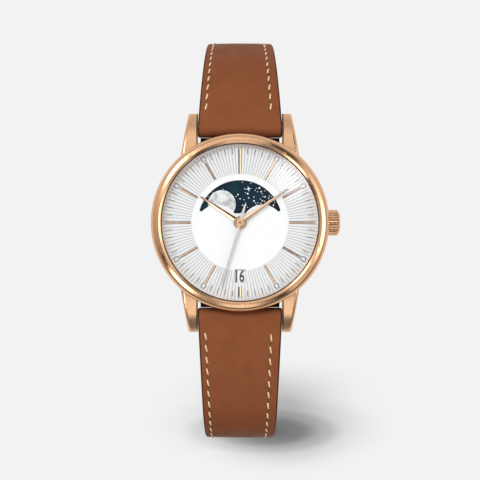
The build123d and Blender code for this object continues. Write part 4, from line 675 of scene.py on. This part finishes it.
def tip_width(distance, length, width, radius):
    """The width of a strap that ends in a half circle."""
    from_end = max(0.0, length - distance)
    if from_end >= radius:
        return width
    return max(NARROWEST, min(width, 2 * math.sqrt(radius**2 - (radius - from_end) ** 2)))


def distances(start, end, refined=0.0):
    """Even distances along a strap, closer together near a rounded tip."""
    count = math.ceil((end - refined - start) / STEP_ALONG)
    places = [start + (end - refined - start) * i / count for i in range(count + 1)]
    if refined:
        angles = [math.pi / 2 * i / TIP_STEPS for i in range(1, TIP_STEPS + 1)]
        places += [end - refined * math.cos(angle) for angle in angles]
    return places


def fold_ring(path, at_end, angle, shape):
    """A ring of the fold round a bar: angle 0 is on the wrist side and pi on the outside."""
    out, height, slope = path.at(path.length if at_end else 0.0)
    ring = []
    bulge = 0.0 if at_end else FOLD_BULGE * math.sin(angle)
    for u, v in shape:
        v += bulge
        along = (1 if at_end else -1) * v * math.sin(angle)
        outward = -v * math.cos(angle)
        y = out + along * math.cos(slope) + outward * math.sin(slope)
        z = height - along * math.sin(slope) + outward * math.cos(slope)
        ring.append(Vector((u, path.side * y, z)))
    return ring


def flap_rings(path, at_end, width, inner, outer):
    """The folded leather's end, which thins and dives under the lining; listed from its tip to the fold."""
    rings = []
    middle = (inner + outer) / 2
    for i in range(FLAP_STEPS + 1):
        t = i / FLAP_STEPS
        along = FLAP_LENGTH * (1 - t)
        thickness = (outer - inner) * (FLAP_TIP_SHARE + (1 - FLAP_TIP_SHARE) * t)
        depth = FLAP_DEPTH + (middle - FLAP_DEPTH) * t**FLAP_DIVE_POWER
        distance = path.length - along if at_end else along
        shape = layer_shape(width, -thickness / 2, thickness / 2)
        rings.append([path.place(distance, u, -depth - v) for u, v in shape])
    return rings


def row_across(path, distance, side, row):
    """How far across the strap a stitch row runs at a distance along it."""
    inset = row["inset"] + (ROW_INSET_END - row["inset"]) * distance / path.length
    return side * (width_at(path, distance) / 2 - inset)


def row_channels(path, distance, rows):
    """Where the stitch channels lie across the strap at a distance along it."""
    return [
        row_across(path, distance, side, row)
        for side, row in rows
        if row["start"] - CHANNEL_RUN_OUT < distance < row["end"] + CHANNEL_RUN_OUT
    ]


def strap_leather(name, path, body, rows, tip=0.0):
    """A strap half's outer leather, folded round its spring bar and, without a tip, round the buckle bar."""
    inner, outer = BAR_RADIUS + FOLD_GAP, LEATHER
    rings = flap_rings(path, False, STRAP_WIDTH - FLAP_NARROWING, inner, outer)
    fold = layer_shape(STRAP_WIDTH, inner, outer)
    rings += [fold_ring(path, False, math.pi * i / FOLD_STEPS, fold) for i in range(1, FOLD_STEPS + 1)]
    for distance in distances(STEP_ALONG, path.length, tip):
        width = width_at(path, distance)
        if tip:
            width = tip_width(distance, path.length, width, tip)
        arch = ARCH_HEIGHT * min(1.0, distance / ARCH_START)
        channels = row_channels(path, distance, rows)
        shape = layer_shape(width, 0.0, leather_at(path, distance), arch, channels)
        rings.append([path.place(distance, u, v) for u, v in shape])
    if not tip:
        inner, outer = BUCKLE_BAR_RADIUS + FOLD_GAP, LEATHER_END
        fold = layer_shape(STRAP_END_WIDTH, inner, outer)
        turns = [math.pi * (1 - i / FOLD_STEPS) for i in range(1, FOLD_STEPS + 1)]
        rings += [fold_ring(path, True, turn, fold) for turn in turns]
        rings += reversed(flap_rings(path, True, STRAP_END_WIDTH - FLAP_NARROWING, inner, outer))
    vertices, faces = lofted(rings)
    count = len(rings[0])
    edge_places = set(range(EDGE_STEPS - 1)) | set(range(count - 2 - EDGE_STEPS, count - 2)) | {count - 1}
    side_faces = (len(rings) - 1) * count
    face_materials = [1 if i < side_faces and i % count in edge_places else 0 for i in range(len(faces))]
    return new_piece(name, vertices, faces, [tan_leather, edge_paint], body, face_materials)


def strap_lining(name, path, body, end, tip=0.0):
    """The lining, which starts behind the fold."""
    rings = []
    for distance in distances(LINING_START, end, tip):
        width = width_at(path, distance) - 2 * LINING_INSET
        if tip:
            width = tip_width(distance, path.length, width, tip - LINING_INSET)
        shape = layer_shape(width, 0.0, LINING)
        rings.append([path.place(distance, u, -v) for u, v in shape])
    vertices, faces = lofted(rings)
    return new_piece(name, vertices, faces, [lining_leather], body)


STITCH_PITCH = 2.25 * mm
STITCH_LENGTH = 1.5 * mm
STITCH_RADIUS = 0.165 * mm
STITCH_SIDES = 8
STITCH_STEPS = 8
STITCH_LEAN = 0.13 * mm
STITCH_DIP = 0.14 * mm
STITCH_HOLE_RADIUS = 0.19 * mm
STITCH_HOLE_GAP = 0.13 * mm
STITCH_HOLE_LIFT = 0.022 * mm
STITCH_HOLE_SIDES = 10
STITCH_SEED = 11


def row_point(path, distance, side, row, across=0.0, above=0.0):
    """A point beside and above the bottom of a stitch channel."""
    base = row_across(path, distance, side, row)
    arch = ARCH_HEIGHT * (2 * base / width_at(path, distance)) ** 2
    top = leather_at(path, distance) - CHANNEL_DEPTH - arch
    return path.place(distance, base + across, top + above)


def stitch_rows(name, path, body, rows):
    """Rows of short leaning thread stitches that dip into the leather at holes, shown as dark discs of
    painted shade.
    """
    vertices, faces, dots, dot_faces = [], [], [], []
    chance = random.Random(STITCH_SEED)
    for side, row in rows:
        start = row["start"]
        while start + STITCH_LENGTH < row["end"]:
            lean = STITCH_LEAN * (0.8 + 0.4 * chance.random())
            base = len(vertices)
            for i in range(STITCH_STEPS + 1):
                t = i / STITCH_STEPS
                rise = math.sin(math.pi * t) ** 0.5 if 0 < t < 1 else 0.0
                for u, v in circle(STITCH_RADIUS * (0.6 + 0.4 * rise), STITCH_SIDES):
                    across = lean * (2 * t - 1) + u
                    above = STITCH_DIP * (2 * rise - 1) + 0.8 * v
                    place = row_point(path, start + STITCH_LENGTH * t, side, row, across, above)
                    vertices.append(place)
            add_tube_faces(faces, base, STITCH_STEPS + 1, STITCH_SIDES)
            # A dark disc at each end of a stitch: painted shade for its hole
            for end in (start - STITCH_HOLE_GAP, start + STITCH_LENGTH + STITCH_HOLE_GAP):
                base = len(dots)
                for u, v in circle(STITCH_HOLE_RADIUS, STITCH_HOLE_SIDES):
                    dots.append(row_point(path, end + 0.9 * v, side, row, u, STITCH_HOLE_LIFT))
                dot_faces.append(tuple(range(base, base + STITCH_HOLE_SIDES)))
            start += STITCH_PITCH
    new_piece(name, vertices, faces, [thread], body)
    new_piece(name + "_holes", dots, dot_faces, [stitch_hole_painted_shade], body)


CUTTER_DEPTH = 4 * LEATHER


def cut(piece, cutter_mesh, place, direction=(0, 0, 1)):
    """Cuts a cutter's shape out of a piece."""
    cutter = new_object("cutter", cutter_mesh)
    cutter.rotation_mode = "QUATERNION"
    cutter.rotation_quaternion = Vector(direction).to_track_quat("Z", "Y")
    cutter.location = place
    bpy.context.view_layer.update()
    modifier = piece.modifiers.new("cut", "BOOLEAN")
    modifier.operation = "DIFFERENCE"
    modifier.solver = "EXACT"
    modifier.object = cutter
    with bpy.context.temp_override(object=piece, active_object=piece, selected_objects=[piece]):
        bpy.ops.object.modifier_apply(modifier=modifier.name)
    bpy.data.objects.remove(cutter, do_unlink=True)


def round_cutter(radius):
    sizes = {"radius1": radius, "radius2": radius, "depth": CUTTER_DEPTH}
    return ready_mesh("round_cutter", bmesh.ops.create_cone, cap_ends=True, segments=32, **sizes)


def box_cutter(width, length):
    scale = Matrix.Diagonal((width, length, CUTTER_DEPTH, 1))
    return ready_mesh("box_cutter", bmesh.ops.create_cube, size=1, matrix=scale)


HOLE_RADIUS = 0.8 * mm
HOLE_COUNT = 7
HOLE_PITCH = 6.0 * mm
HOLE_TIP_DISTANCE = 18.0 * mm
SHARP_DEGREES = 50
SLOT_WIDTH = 2.3 * mm
SLOT_LENGTH = 2.3 * mm
SLOT_PAST_END = 2.0 * mm
TIP_RADIUS = STRAP_END_WIDTH / 2
ROW_TO_BUCKLE = 11 * mm
ROW_TO_TIP = 6.4 * mm
ROW_INSET_LEFT = 1.3 * mm
ROW_INSET_RIGHT = 1.9 * mm
ROW_INSET_END = 1.4 * mm
UPPER_ROW_STARTS = (2.9 * mm, 2.9 * mm)
LOWER_ROW_STARTS = (2.5 * mm, 2.8 * mm)


def row_pair(starts, end):
    """The left and right stitch rows of a strap half, seen with 12 o'clock up."""
    left = {"start": starts[0], "end": end, "inset": ROW_INSET_LEFT}
    right = {"start": starts[1], "end": end, "inset": ROW_INSET_RIGHT}
    return [(-1, left), (1, right)]


upper_rows = row_pair(UPPER_ROW_STARTS, upper_path.length - ROW_TO_BUCKLE)
lower_rows = row_pair(LOWER_ROW_STARTS, lower_path.length - ROW_TO_TIP)

upper_leather = strap_leather("upper_leather", upper_path, "upper_strap", upper_rows)
upper_lining = strap_lining("upper_lining", upper_path, "upper_strap", upper_path.length - LINING_TO_BAR)
lower_leather = strap_leather("lower_leather", lower_path, "lower_strap", lower_rows, TIP_RADIUS)
lower_lining = strap_lining("lower_lining", lower_path, "lower_strap", lower_path.length, TIP_RADIUS)
slot_place = upper_path.place(upper_path.length + (SLOT_PAST_END - SLOT_LENGTH) / 2, 0, 0)
for layer in (upper_leather, upper_lining):
    cut(layer, box_cutter(SLOT_WIDTH, SLOT_LENGTH + SLOT_PAST_END), slot_place)
for hole in range(HOLE_COUNT):
    hole_distance = lower_path.length - HOLE_TIP_DISTANCE - hole * HOLE_PITCH
    slope = lower_path.at(hole_distance)[2]
    hole_axis = (0, lower_path.side * math.sin(slope), math.cos(slope))
    for layer in (lower_leather, lower_lining):
        cut(layer, round_cutter(HOLE_RADIUS), lower_path.place(hole_distance, 0, 0), hole_axis)
for layer in (upper_leather, upper_lining, lower_leather, lower_lining):
    layer.data.set_sharp_from_angle(angle=math.radians(SHARP_DEGREES))
stitch_rows("upper_stitches", upper_path, "upper_strap", upper_rows)
stitch_rows("lower_stitches", lower_path, "lower_strap", lower_rows)
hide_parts("strap_upper")
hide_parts("lining_upper")
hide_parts("strap_lower")
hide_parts("lining_lower")


# Keepers

KEEPER_LENGTH = 3.6 * mm
KEEPER_THICKNESS = 0.7 * mm
KEEPER_CORNER = 0.5 * mm
KEEPER_ROUND = 0.2 * mm
FIXED_KEEPER_GAP = 0.05 * mm
SLIDING_KEEPER_GAP = 0.2 * mm
KEEPER_CORNER_STEPS = 6
KEEPER_EDGE_STEPS = 3
KEEPER_STEP = 0.7 * mm
KEEPER_EDGE_SHARE = 0.985
FIXED_KEEPER_TO_BAR = 4.2 * mm
FIXED_KEEPER_DISTANCE = upper_path.length - FIXED_KEEPER_TO_BAR

# The sliding keeper rests on the upper strap's second arc, and has room to slide back along it

SLIDING_KEEPER_TURN = math.radians(50)
SLIDING_KEEPER_ROOM = math.radians(36)
FIRST_ARC = upper_path.radii[0] * (upper_path.slopes[1] - upper_path.slopes[0])
SLIDING_KEEPER_DISTANCE = FIRST_ARC + upper_path.radii[1] * SLIDING_KEEPER_TURN
SLIDING_KEEPER_REACH = upper_path.radii[1] * SLIDING_KEEPER_ROOM


def rounded_rectangle(half_width, low, high, rounding, steps):
    """Points and outward directions round the four rounded corners of a rectangle."""
    line = []
    for quarter, (u, v) in enumerate([(1, high), (-1, high), (-1, low), (1, low)]):
        centre_u = u * (half_width - rounding)
        centre_v = v - (rounding if v == high else -rounding)
        for i in range(steps + 1):
            angle = math.radians(90 * (quarter + i / steps))
            nu, nv = math.cos(angle), math.sin(angle)
            line.append((centre_u + rounding * nu, centre_v + rounding * nv, nu, nv))
    return line


def loop_line(half_width, low, high):
    """The keeper's loop round the strap, with points along its straight stretches too."""
    line = rounded_rectangle(half_width, low, high, KEEPER_CORNER, KEEPER_CORNER_STEPS)
    full = []
    for i, first in enumerate(line):
        second = line[(i + 1) % len(line)]
        gap = math.hypot(second[0] - first[0], second[1] - first[1])
        steps = max(1, round(gap / KEEPER_STEP))
        for k in range(steps):
            full.append(tuple(a + (b - a) * k / steps for a, b in zip(first, second)))
    return full


def band_shape():
    """The keeper's section, as (along, outward) points."""
    half = KEEPER_THICKNESS / 2
    line = rounded_rectangle(KEEPER_LENGTH / 2, -half, half, KEEPER_ROUND, KEEPER_EDGE_STEPS)
    return [(s, n) for s, n, _, _ in line]


def keeper(name, node, distance, reach, gap, body):
    """A leather loop round the upper strap, bent to its curve, with room as far back as its reach."""
    widest = distance - reach
    room = gap + KEEPER_THICKNESS / 2
    high = leather_at(upper_path, widest) + room
    line = loop_line(width_at(upper_path, widest) / 2 + room, -LINING - room, high)
    shape = band_shape()
    vertices = [
        upper_path.place(distance + s, u + n * nu, v + n * nv) for u, v, nu, nv in line for s, n in shape
    ]
    faces, face_materials = [], []
    count = len(shape)
    edge_reach = KEEPER_EDGE_SHARE * (KEEPER_LENGTH - KEEPER_ROUND)
    for i in range(len(line)):
        for j in range(count):
            a, b = i * count + j, i * count + (j + 1) % count
            k = (i + 1) % len(line) * count - i * count
            faces.append((a, b, b + k, a + k))
            along = abs(shape[j][0] + shape[(j + 1) % count][0])
            face_materials.append(1 if along > edge_reach else 0)
    piece = new_piece(name, vertices, faces, [tan_leather, edge_paint], body, face_materials)
    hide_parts(node)


keeper(
    "fixed_keeper", "keeper_fixed", FIXED_KEEPER_DISTANCE, KEEPER_LENGTH / 2, FIXED_KEEPER_GAP, "upper_strap"
)
keeper(
    "sliding_keeper",
    "keeper_sliding",
    SLIDING_KEEPER_DISTANCE,
    SLIDING_KEEPER_REACH,
    SLIDING_KEEPER_GAP,
    "keeper",
)


# Hour markers

MARKER_SIDE = 0.1 * mm
MARKER_SLOPE = 0.44
MARKER_TOP = 0.68
MARKER_FOOT = 0.02 * mm

# A marker's faces, 0 for the gold of its two upper facets and 1 for the rest, which is painted darker as
# shade

MARKER_FACE_MATERIALS = [1, 1, 0, 0, 1, 1, 1]

# The width of a marker, and how far from the dial's centre it starts and ends

PLAIN_MARKER = (0.38 * mm, 9.2 * mm, 12.94 * mm)
SIDE_MARKER = (0.38 * mm, 9.2 * mm, 14.0 * mm)
TWELVE_MARKER = (0.55 * mm, 9.07 * mm, 13.74 * mm)
SIX_MARKER = (0.7 * mm, 12.0 * mm, 13.9 * mm)
OTHER_MARKERS = {0: TWELVE_MARKER, 3: SIDE_MARKER, 6: SIX_MARKER, 9: SIDE_MARKER}


def clock_point(radius, clock_degrees, level):
    angle = math.radians(90 - clock_degrees)
    return Vector((radius * math.cos(angle), radius * math.sin(angle), level))


def spoke(clock_degrees):
    """The directions along and across a spoke of the dial."""
    along = clock_point(1, clock_degrees, 0)
    return along, Vector((along.y, -along.x, 0))


def hour_batons():
    """Twelve markers, each a prism with two upper facets."""
    vertices, faces, face_materials = [], [], []
    for hour in range(12):
        width, start, end = OTHER_MARKERS.get(hour, PLAIN_MARKER)
        along, across = spoke(30 * hour)
        top = MARKER_TOP * width / 2
        section = [
            (-width / 2, -MARKER_FOOT),
            (width / 2, -MARKER_FOOT),
            (top, MARKER_SIDE),
            (0, MARKER_SIDE + MARKER_SLOPE * top),
            (-top, MARKER_SIDE),
        ]
        add_tube_faces(faces, len(vertices), 2, len(section))
        for distance in (start, end):
            for u, v in section:
                vertices.append(along * distance + across * u + Vector((0, 0, DIAL_TOP + v)))
        face_materials += MARKER_FACE_MATERIALS
    metals = [baton_gold, baton_painted_shade]
    piece = new_piece(
        "hour_batons", vertices, faces, metals, "case", face_materials, smooth=False
    )
    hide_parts("hour_markers")


hour_batons()


# What is printed on the dial, on the date disc and on the sky

PRINT_LIFT = 0.012 * mm
TICK_START = 12.75 * mm
TICK_END = 13.85 * mm
TICK_WIDTH = 0.11 * mm
RING_DISTANCE = 13.62 * mm
RING_INNER = 0.41 * mm
RING_OUTER = 0.51 * mm
RING_SIDES = 32
DATE_SHOWN = 16
DATE_DISTANCE = 10.0 * mm
DATE_HEIGHT = 2.32 * mm
DATE_PAIR_WIDTH = 1.6 * mm
DATE_BOLDNESS = 0.022


def dial_print():
    """Minute strokes round the dial and a small circle at eight of the hours."""
    vertices, faces = [], []
    level = DIAL_TOP + PRINT_LIFT
    for minute in range(60):
        if minute % 5 == 0:
            continue
        along, across = spoke(6 * minute)
        base = len(vertices)
        for radius, side in ((TICK_START, -1), (TICK_END, -1), (TICK_END, 1), (TICK_START, 1)):
            vertices.append(along * radius + across * side * TICK_WIDTH / 2 + Vector((0, 0, level)))
        faces.append((base, base + 1, base + 2, base + 3))
    for hour in (1, 2, 4, 5, 7, 8, 10, 11):
        centre = clock_point(RING_DISTANCE, 30 * hour, level)
        base = len(vertices)
        for radius in (RING_INNER, RING_OUTER):
            vertices += [Vector((*place, level)) for place in circle(radius, RING_SIDES, centre)]
        for j in range(RING_SIDES):
            k = (j + 1) % RING_SIDES
            faces.append((base + j, base + k, base + RING_SIDES + k, base + RING_SIDES + j))
    new_piece("dial_strokes", vertices, faces, [print_ink], "case", smooth=False)


def date_numbers():
    """The numbers 1 to 31 round the date disc, upright in the window."""
    vertices, faces = [], []
    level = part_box("date_disc")[1].z + PRINT_LIFT
    scale = None
    for number in [DATE_SHOWN] + [n for n in range(1, 32) if n != DATE_SHOWN]:
        curve = bpy.data.curves.new("number", "FONT")
        curve.body = str(number)
        curve.offset = DATE_BOLDNESS
        curve.resolution_u = 3
        text = new_object("number", curve)
        bpy.context.view_layer.update()
        mesh = bpy.data.meshes.new_from_object(text.evaluated_get(bpy.context.evaluated_depsgraph_get()))
        points = [v.co.copy() for v in mesh.vertices]
        low_x, high_x = min(p.x for p in points), max(p.x for p in points)
        low_y, high_y = min(p.y for p in points), max(p.y for p in points)
        if scale is None:
            scale = (DATE_PAIR_WIDTH / (high_x - low_x), DATE_HEIGHT / (high_y - low_y))
        turn = math.radians((number - DATE_SHOWN) * 360 / 31)
        base = len(vertices)
        sine, cosine = math.sin(turn), math.cos(turn)
        for p in points:
            x = (p.x - (low_x + high_x) / 2) * scale[0]
            y = (p.y - (low_y + high_y) / 2) * scale[1] - DATE_DISTANCE
            vertices.append((x * cosine - y * sine, x * sine + y * cosine, level))
        faces += [tuple(base + i for i in polygon.vertices) for polygon in mesh.polygons]
        bpy.data.objects.remove(text, do_unlink=True)
        bpy.data.meshes.remove(mesh)
    new_piece("date_numbers", vertices, faces, [print_ink], "date", smooth=False)


STAR_SEED = 27
STAR_COUNT = 260
STAR_SMALLEST = 0.08
STAR_GROWTH = 0.10
STAR_GAP = 0.36 * mm
STAR_BAND_SHARE = 0.55
STAR_BAND_CENTRE = (4.6, 4.2)
STAR_BAND_SPREAD = 1.5
STAR_RIGHT_SHARE = 0.6
STAR_SPAN = 8
STAR_SIDES = 8
WARM_SHARE = 0.06
MOON_PATH_RADIUS = 4.84 * mm
MOON_ANGLE = 134.6
MOON_RADIUS = 2.6 * mm
SKY_RADIUS = 8.05 * mm
SKY_HUB_RADIUS = 1.3 * mm
CROSS_WAIST = 0.2
CROSS_TURN = 12

# The four-pointed stars: their places and how far their points reach, in mm

CROSS_STARS = [(1.6, 6.3, 0.62), (-0.9, 3.2, 0.4), (-4.9, -3.6, 0.6), (2.2, -6.0, 0.4), (5.4, 3.2, 0.34)]


def star_sky():
    """White stars of many sizes over the moon disc, thicker in two bands, with a few four-pointed ones."""
    chance = random.Random(STAR_SEED)
    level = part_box("moon_disc")[1].z + PRINT_LIFT / 2
    moon_turn = math.radians(MOON_ANGLE)
    moon = Vector((math.cos(moon_turn), math.sin(moon_turn))) * MOON_PATH_RADIUS
    groups = {"stars": ([], [], star_ink), "warm_stars": ([], [], pink_ink)}

    def free(x, y, gap):
        place = Vector((x, y))
        clear_of_moons = min((place - moon).length, (place + moon).length) > MOON_RADIUS + gap
        return clear_of_moons and SKY_HUB_RADIUS + gap < place.length < SKY_RADIUS - gap

    def add(group, outline):
        vertices, faces, _ = groups[group]
        base = len(vertices)
        vertices.extend(Vector((x, y, level)) for x, y in outline)
        faces.append(tuple(range(base, base + len(outline))))

    placed = [Vector((x, y)) * mm for x, y, _ in CROSS_STARS]
    for _ in range(STAR_COUNT):
        if chance.random() < STAR_BAND_SHARE:
            side = 1 if chance.random() < STAR_RIGHT_SHARE else -1
            x = side * (STAR_BAND_CENTRE[0] + chance.gauss(0, STAR_BAND_SPREAD)) * mm
            y = side * (STAR_BAND_CENTRE[1] + chance.gauss(0, STAR_BAND_SPREAD)) * mm
        else:
            x = chance.uniform(-STAR_SPAN, STAR_SPAN) * mm
            y = chance.uniform(-STAR_SPAN, STAR_SPAN) * mm
        radius = (STAR_SMALLEST + STAR_GROWTH * chance.random() ** 3) * mm
        apart = all((Vector((x, y)) - place).length > STAR_GAP for place in placed)
        if apart and free(x, y, radius):
            placed.append(Vector((x, y)))
            outline = circle(radius, STAR_SIDES, (x, y))
            add("warm_stars" if chance.random() < WARM_SHARE else "stars", outline)
    for x, y, reach in CROSS_STARS:
        if free(x * mm, y * mm, 0):
            outline = []
            for j in range(8):
                radius = reach * mm * (1 if j % 2 == 0 else CROSS_WAIST)
                angle = math.radians(CROSS_TURN + 45 * j)
                outline.append((x * mm + radius * math.cos(angle), y * mm + radius * math.sin(angle)))
            add("stars", outline)
    for name, (vertices, faces, material) in groups.items():
        new_piece(name, vertices, faces, [material], "moon", smooth=False)


dial_print()
date_numbers()
star_sky()


# The camera

FRAME_WIDTH = 89.05 * mm
CAMERA_HEIGHT = 215 * mm
CAMERA_Y = -3.26 * mm
BEZEL_LEVEL = 6.6 * mm
SENSOR = 36.0


def make_camera():
    data = bpy.data.cameras.new("camera")
    data.sensor_width = SENSOR
    data.lens = CAMERA_HEIGHT / FRAME_WIDTH * SENSOR
    data.clip_start = 10 * mm
    data.clip_end = 10
    camera = new_object("camera", data)
    camera.location = (0, CAMERA_Y, BEZEL_LEVEL + CAMERA_HEIGHT)
    bpy.context.scene.camera = camera


# The floor

BACKGROUND = 0.888
FLOOR_REACH = 3.0
FLOOR_PALE = 0.68
FLOOR_DULL = 0.12
# The shadow painted into the paper: its centre, its reach and how dark it is across that reach
PAINTED_SHADOW_CENTRE = (5.0 * mm, -47.2 * mm)
PAINTED_SHADOW_REACH = (33 * mm, 9.5 * mm)
PAINTED_SHADOW_STOPS = [(0.0, 0.22), (0.25, 0.36), (0.45, 0.62), (0.6, 0.85), (1.0, 1.0)]
SHADE_CENTRE = (9.5 * mm, -44.5 * mm)
SHADE_REACH = (37 * mm, 14.5 * mm)
SHADE_CORE = 0.25
UNDER_HALF_WIDTH = 8.2 * mm
UNDER_CENTRE_Y = -2.5 * mm
UNDER_HALF_LENGTH = 38 * mm
UNDER_EDGE = 2 * mm


def ellipse_radius(tree, centre, reach):
    """A point's distance from a centre on the floor, as a share of an ellipse's reach."""
    scale = (1 / reach[0], 1 / reach[1], 0)
    shift = (-centre[0] / reach[0], -centre[1] / reach[1], 0)
    return magnitude(tree, scaled(tree, scale, shift))


def beyond_strap(tree):
    """0 on the floor straight below the strap and the case, and 1 beside them."""
    place = parts(tree)
    edges = []
    for axis, centre, half in (("X", 0, UNDER_HALF_WIDTH), ("Y", UNDER_CENTRE_Y, UNDER_HALF_LENGTH)):
        away = maths(tree, "ABSOLUTE", maths(tree, "SUBTRACT", place[axis], centre))
        edges.append(share(tree, away, half - UNDER_EDGE, half, smooth=True))
    return maths(tree, "MAXIMUM", *edges)


def seen_rays(tree):
    """1 for what the camera sees directly, in a mirror or through glass, and 0 for soft light."""
    path = tree.nodes.new("ShaderNodeLightPath")
    seen = maths(tree, "ADD", path.outputs["Is Camera Ray"], path.outputs["Is Glossy Ray"])
    seen = maths(tree, "ADD", seen, path.outputs["Is Transmission Ray"])
    seen.node.use_clamp = True
    return seen


def make_floor():
    """Paper, pale and even to the eye and to mirrors, apart from a patch that shows the watch's real shadow
    and has a darker shadow painted into its colour.
    """
    corners = [(-1, -1), (1, -1), (1, 1), (-1, 1)]
    mesh = bpy.data.meshes.new("floor")
    vertices = [(x * FLOOR_REACH, y * FLOOR_REACH, FLOOR_LEVEL) for x, y in corners]
    mesh.from_pydata(vertices, [], [(0, 1, 2, 3)])
    paper = {"Roughness": 0.9, "Specular IOR Level": 0.1}
    material, tree, shader = new_material("floor_paper", paper)
    # A painted shadow: the paper's colour darkens within an ellipse below the lower strap
    stops = [(place, grey(FLOOR_PALE * value)) for place, value in PAINTED_SHADOW_STOPS]
    colours = ramp(tree, ellipse_radius(tree, PAINTED_SHADOW_CENTRE, PAINTED_SHADOW_REACH), stops, "EASE")
    paint(colours, shader)
    outside = share(tree, ellipse_radius(tree, SHADE_CENTRE, SHADE_REACH), SHADE_CORE, 1.0, smooth=True)
    beside = maths(tree, "MULTIPLY", outside, beyond_strap(tree))
    even = tree.nodes.new("ShaderNodeEmission")
    even.inputs["Color"].default_value = (*grey(BACKGROUND), 1)
    seen_paper = mixed_shaders(tree, beside, shader.outputs["BSDF"], even.outputs["Emission"])
    dull = tree.nodes.new("ShaderNodeBsdfDiffuse")
    dull.inputs["Color"].default_value = (*grey(FLOOR_DULL), 1)
    surface = mixed_shaders(tree, seen_rays(tree), dull.outputs["BSDF"], seen_paper)
    cover(tree, surface)
    mesh.materials.append(material)
    floor = new_object("floor", mesh)


# The lamps

KEY_PLACE = (-0.22, 0.36, 0.93)
KEY_TARGET = (0, -0.01, -0.02)
KEY_SIZE = (0.45, 0.14)
KEY_POWER = 4.4
VEIL_PLACE = (0.045, 0.046, 0.408)
VEIL_TARGET = (0.009, 0.008, 0.008)
VEIL_RADIUS = 26 * mm
VEIL_STRENGTH = 14.0
VEIL_CORE = 0.25


def aim(thing, place, target, front):
    """Puts a lamp or a panel at a place, with its front towards a target."""
    thing.location = place
    thing.rotation_mode = "QUATERNION"
    thing.rotation_quaternion = (Vector(target) - Vector(place)).to_track_quat(front, "Y")


def make_key_lamp():
    data = bpy.data.lights.new("key", "AREA")
    data.shape = "RECTANGLE"
    data.size, data.size_y = KEY_SIZE
    data.energy = KEY_POWER
    lamp = new_object("key", data)
    aim(lamp, KEY_PLACE, KEY_TARGET, "-Z")
    lamp.visible_glossy = False


def make_veil():
    """A round panel that fades towards its edge and shows only in mirrors: the pale veil on the crystal."""
    mesh = ready_mesh("veil", bmesh.ops.create_circle, cap_ends=True, segments=48, radius=VEIL_RADIUS)
    material, tree, shader = new_material("veil", {})
    tree.nodes.remove(shader)
    glow = tree.nodes.new("ShaderNodeEmission")
    radius = magnitude(tree, coordinates(tree))
    fade = share(tree, radius, VEIL_RADIUS, VEIL_CORE * VEIL_RADIUS, smooth=True, full=VEIL_STRENGTH)
    feed(fade, glow.inputs["Strength"])
    clear = tree.nodes.new("ShaderNodeBsdfTransparent")
    both = tree.nodes.new("ShaderNodeAddShader")
    feed(glow.outputs["Emission"], both.inputs[0])
    feed(clear.outputs["BSDF"], both.inputs[1])
    cover(tree, both.outputs["Shader"])
    mesh.materials.append(material)
    panel = new_object("veil", mesh)
    aim(panel, VEIL_PLACE, VEIL_TARGET, "Z")
    panel.visible_camera = False
    panel.visible_diffuse = False
    panel.visible_shadow = False


# The world. Its radiance is given at the sides by the angle from +X, and near the horizon by how far
# a direction leans to +Y.

SIDE_STOPS = [
    (-180, 0.55), (-165, 0.5), (-158, 0.07), (-148, 0.07), (-143, 4.8), (-131, 4.6),
    (-122, 0.5), (-108, 0.35), (-100, 1.2), (-82, 1.3), (-74, 0.5), (-62, 0.05),
    (-54, 0.05), (-52, 0.9), (-28, 0.7), (-10, 3.4), (10, 3.6), (18, 1.6),
    (30, 1.2), (42, 0.8), (50, 0.08), (68, 0.08), (72, 0.8), (92, 1.05),
    (115, 0.9), (126, 1.6), (133, 5.0), (146, 4.8), (151, 1.8), (160, 0.8),
    (180, 0.55),
]
LOW_STOPS = [(-1.0, 0.22), (-0.5, 0.30), (0.0, 0.6), (0.4, 0.7), (1.0, 0.65)]
OVERHEAD = 0.45
BRIGHTEST = 6.0
SIDES_START, SIDES_FULL = 0.42, 0.60
OVERHEAD_START, OVERHEAD_FULL = 0.93, 0.98


def radiance_stops(stops, start, end):
    """Colour ramp stops for radiances given over a range, as shares of the brightest."""
    return [((place - start) / (end - start), grey(value / BRIGHTEST)) for place, value in stops]


def make_world():
    """Soft studio surroundings: bright to the left and right, with narrow dark flags between."""
    world = bpy.data.worlds.new("studio")
    bpy.context.scene.world = world
    world.use_nodes = True
    tree = world.node_tree
    back = tree.nodes["Background"]
    direction = parts(tree, "Generated")
    angle = maths(tree, "ARCTAN2", direction["Y"], direction["X"])
    turn = maths(tree, "MULTIPLY_ADD", angle, 1 / TAU, 0.5)
    sides = ramp(tree, turn, radiance_stops(SIDE_STOPS, -180, 180))
    lean = share(tree, direction["Y"], -1.0, 1.0)
    low = ramp(tree, lean, radiance_stops(LOW_STOPS, -1, 1))
    rise = share(tree, direction["Z"], SIDES_START, SIDES_FULL, smooth=True)
    height = share(tree, direction["Z"], OVERHEAD_START, OVERHEAD_FULL, smooth=True)
    overhead = (*grey(OVERHEAD / BRIGHTEST), 1)
    feed(mixed(tree, height, mixed(tree, rise, low, sides), overhead), back.inputs["Color"])
    back.inputs["Strength"].default_value = BRIGHTEST
    plain = tree.nodes.new("ShaderNodeBackground")
    plain.inputs["Color"].default_value = (*grey(BACKGROUND), 1)
    to_camera = tree.nodes.new("ShaderNodeLightPath").outputs["Is Camera Ray"]
    chosen = mixed_shaders(tree, to_camera, back.outputs["Background"], plain.outputs["Background"])
    feed(chosen, tree.nodes["World Output"].inputs["Surface"])


make_camera()
make_world()
make_floor()
make_key_lamp()
make_veil()
bpy.context.scene.view_settings.view_transform = "Standard"
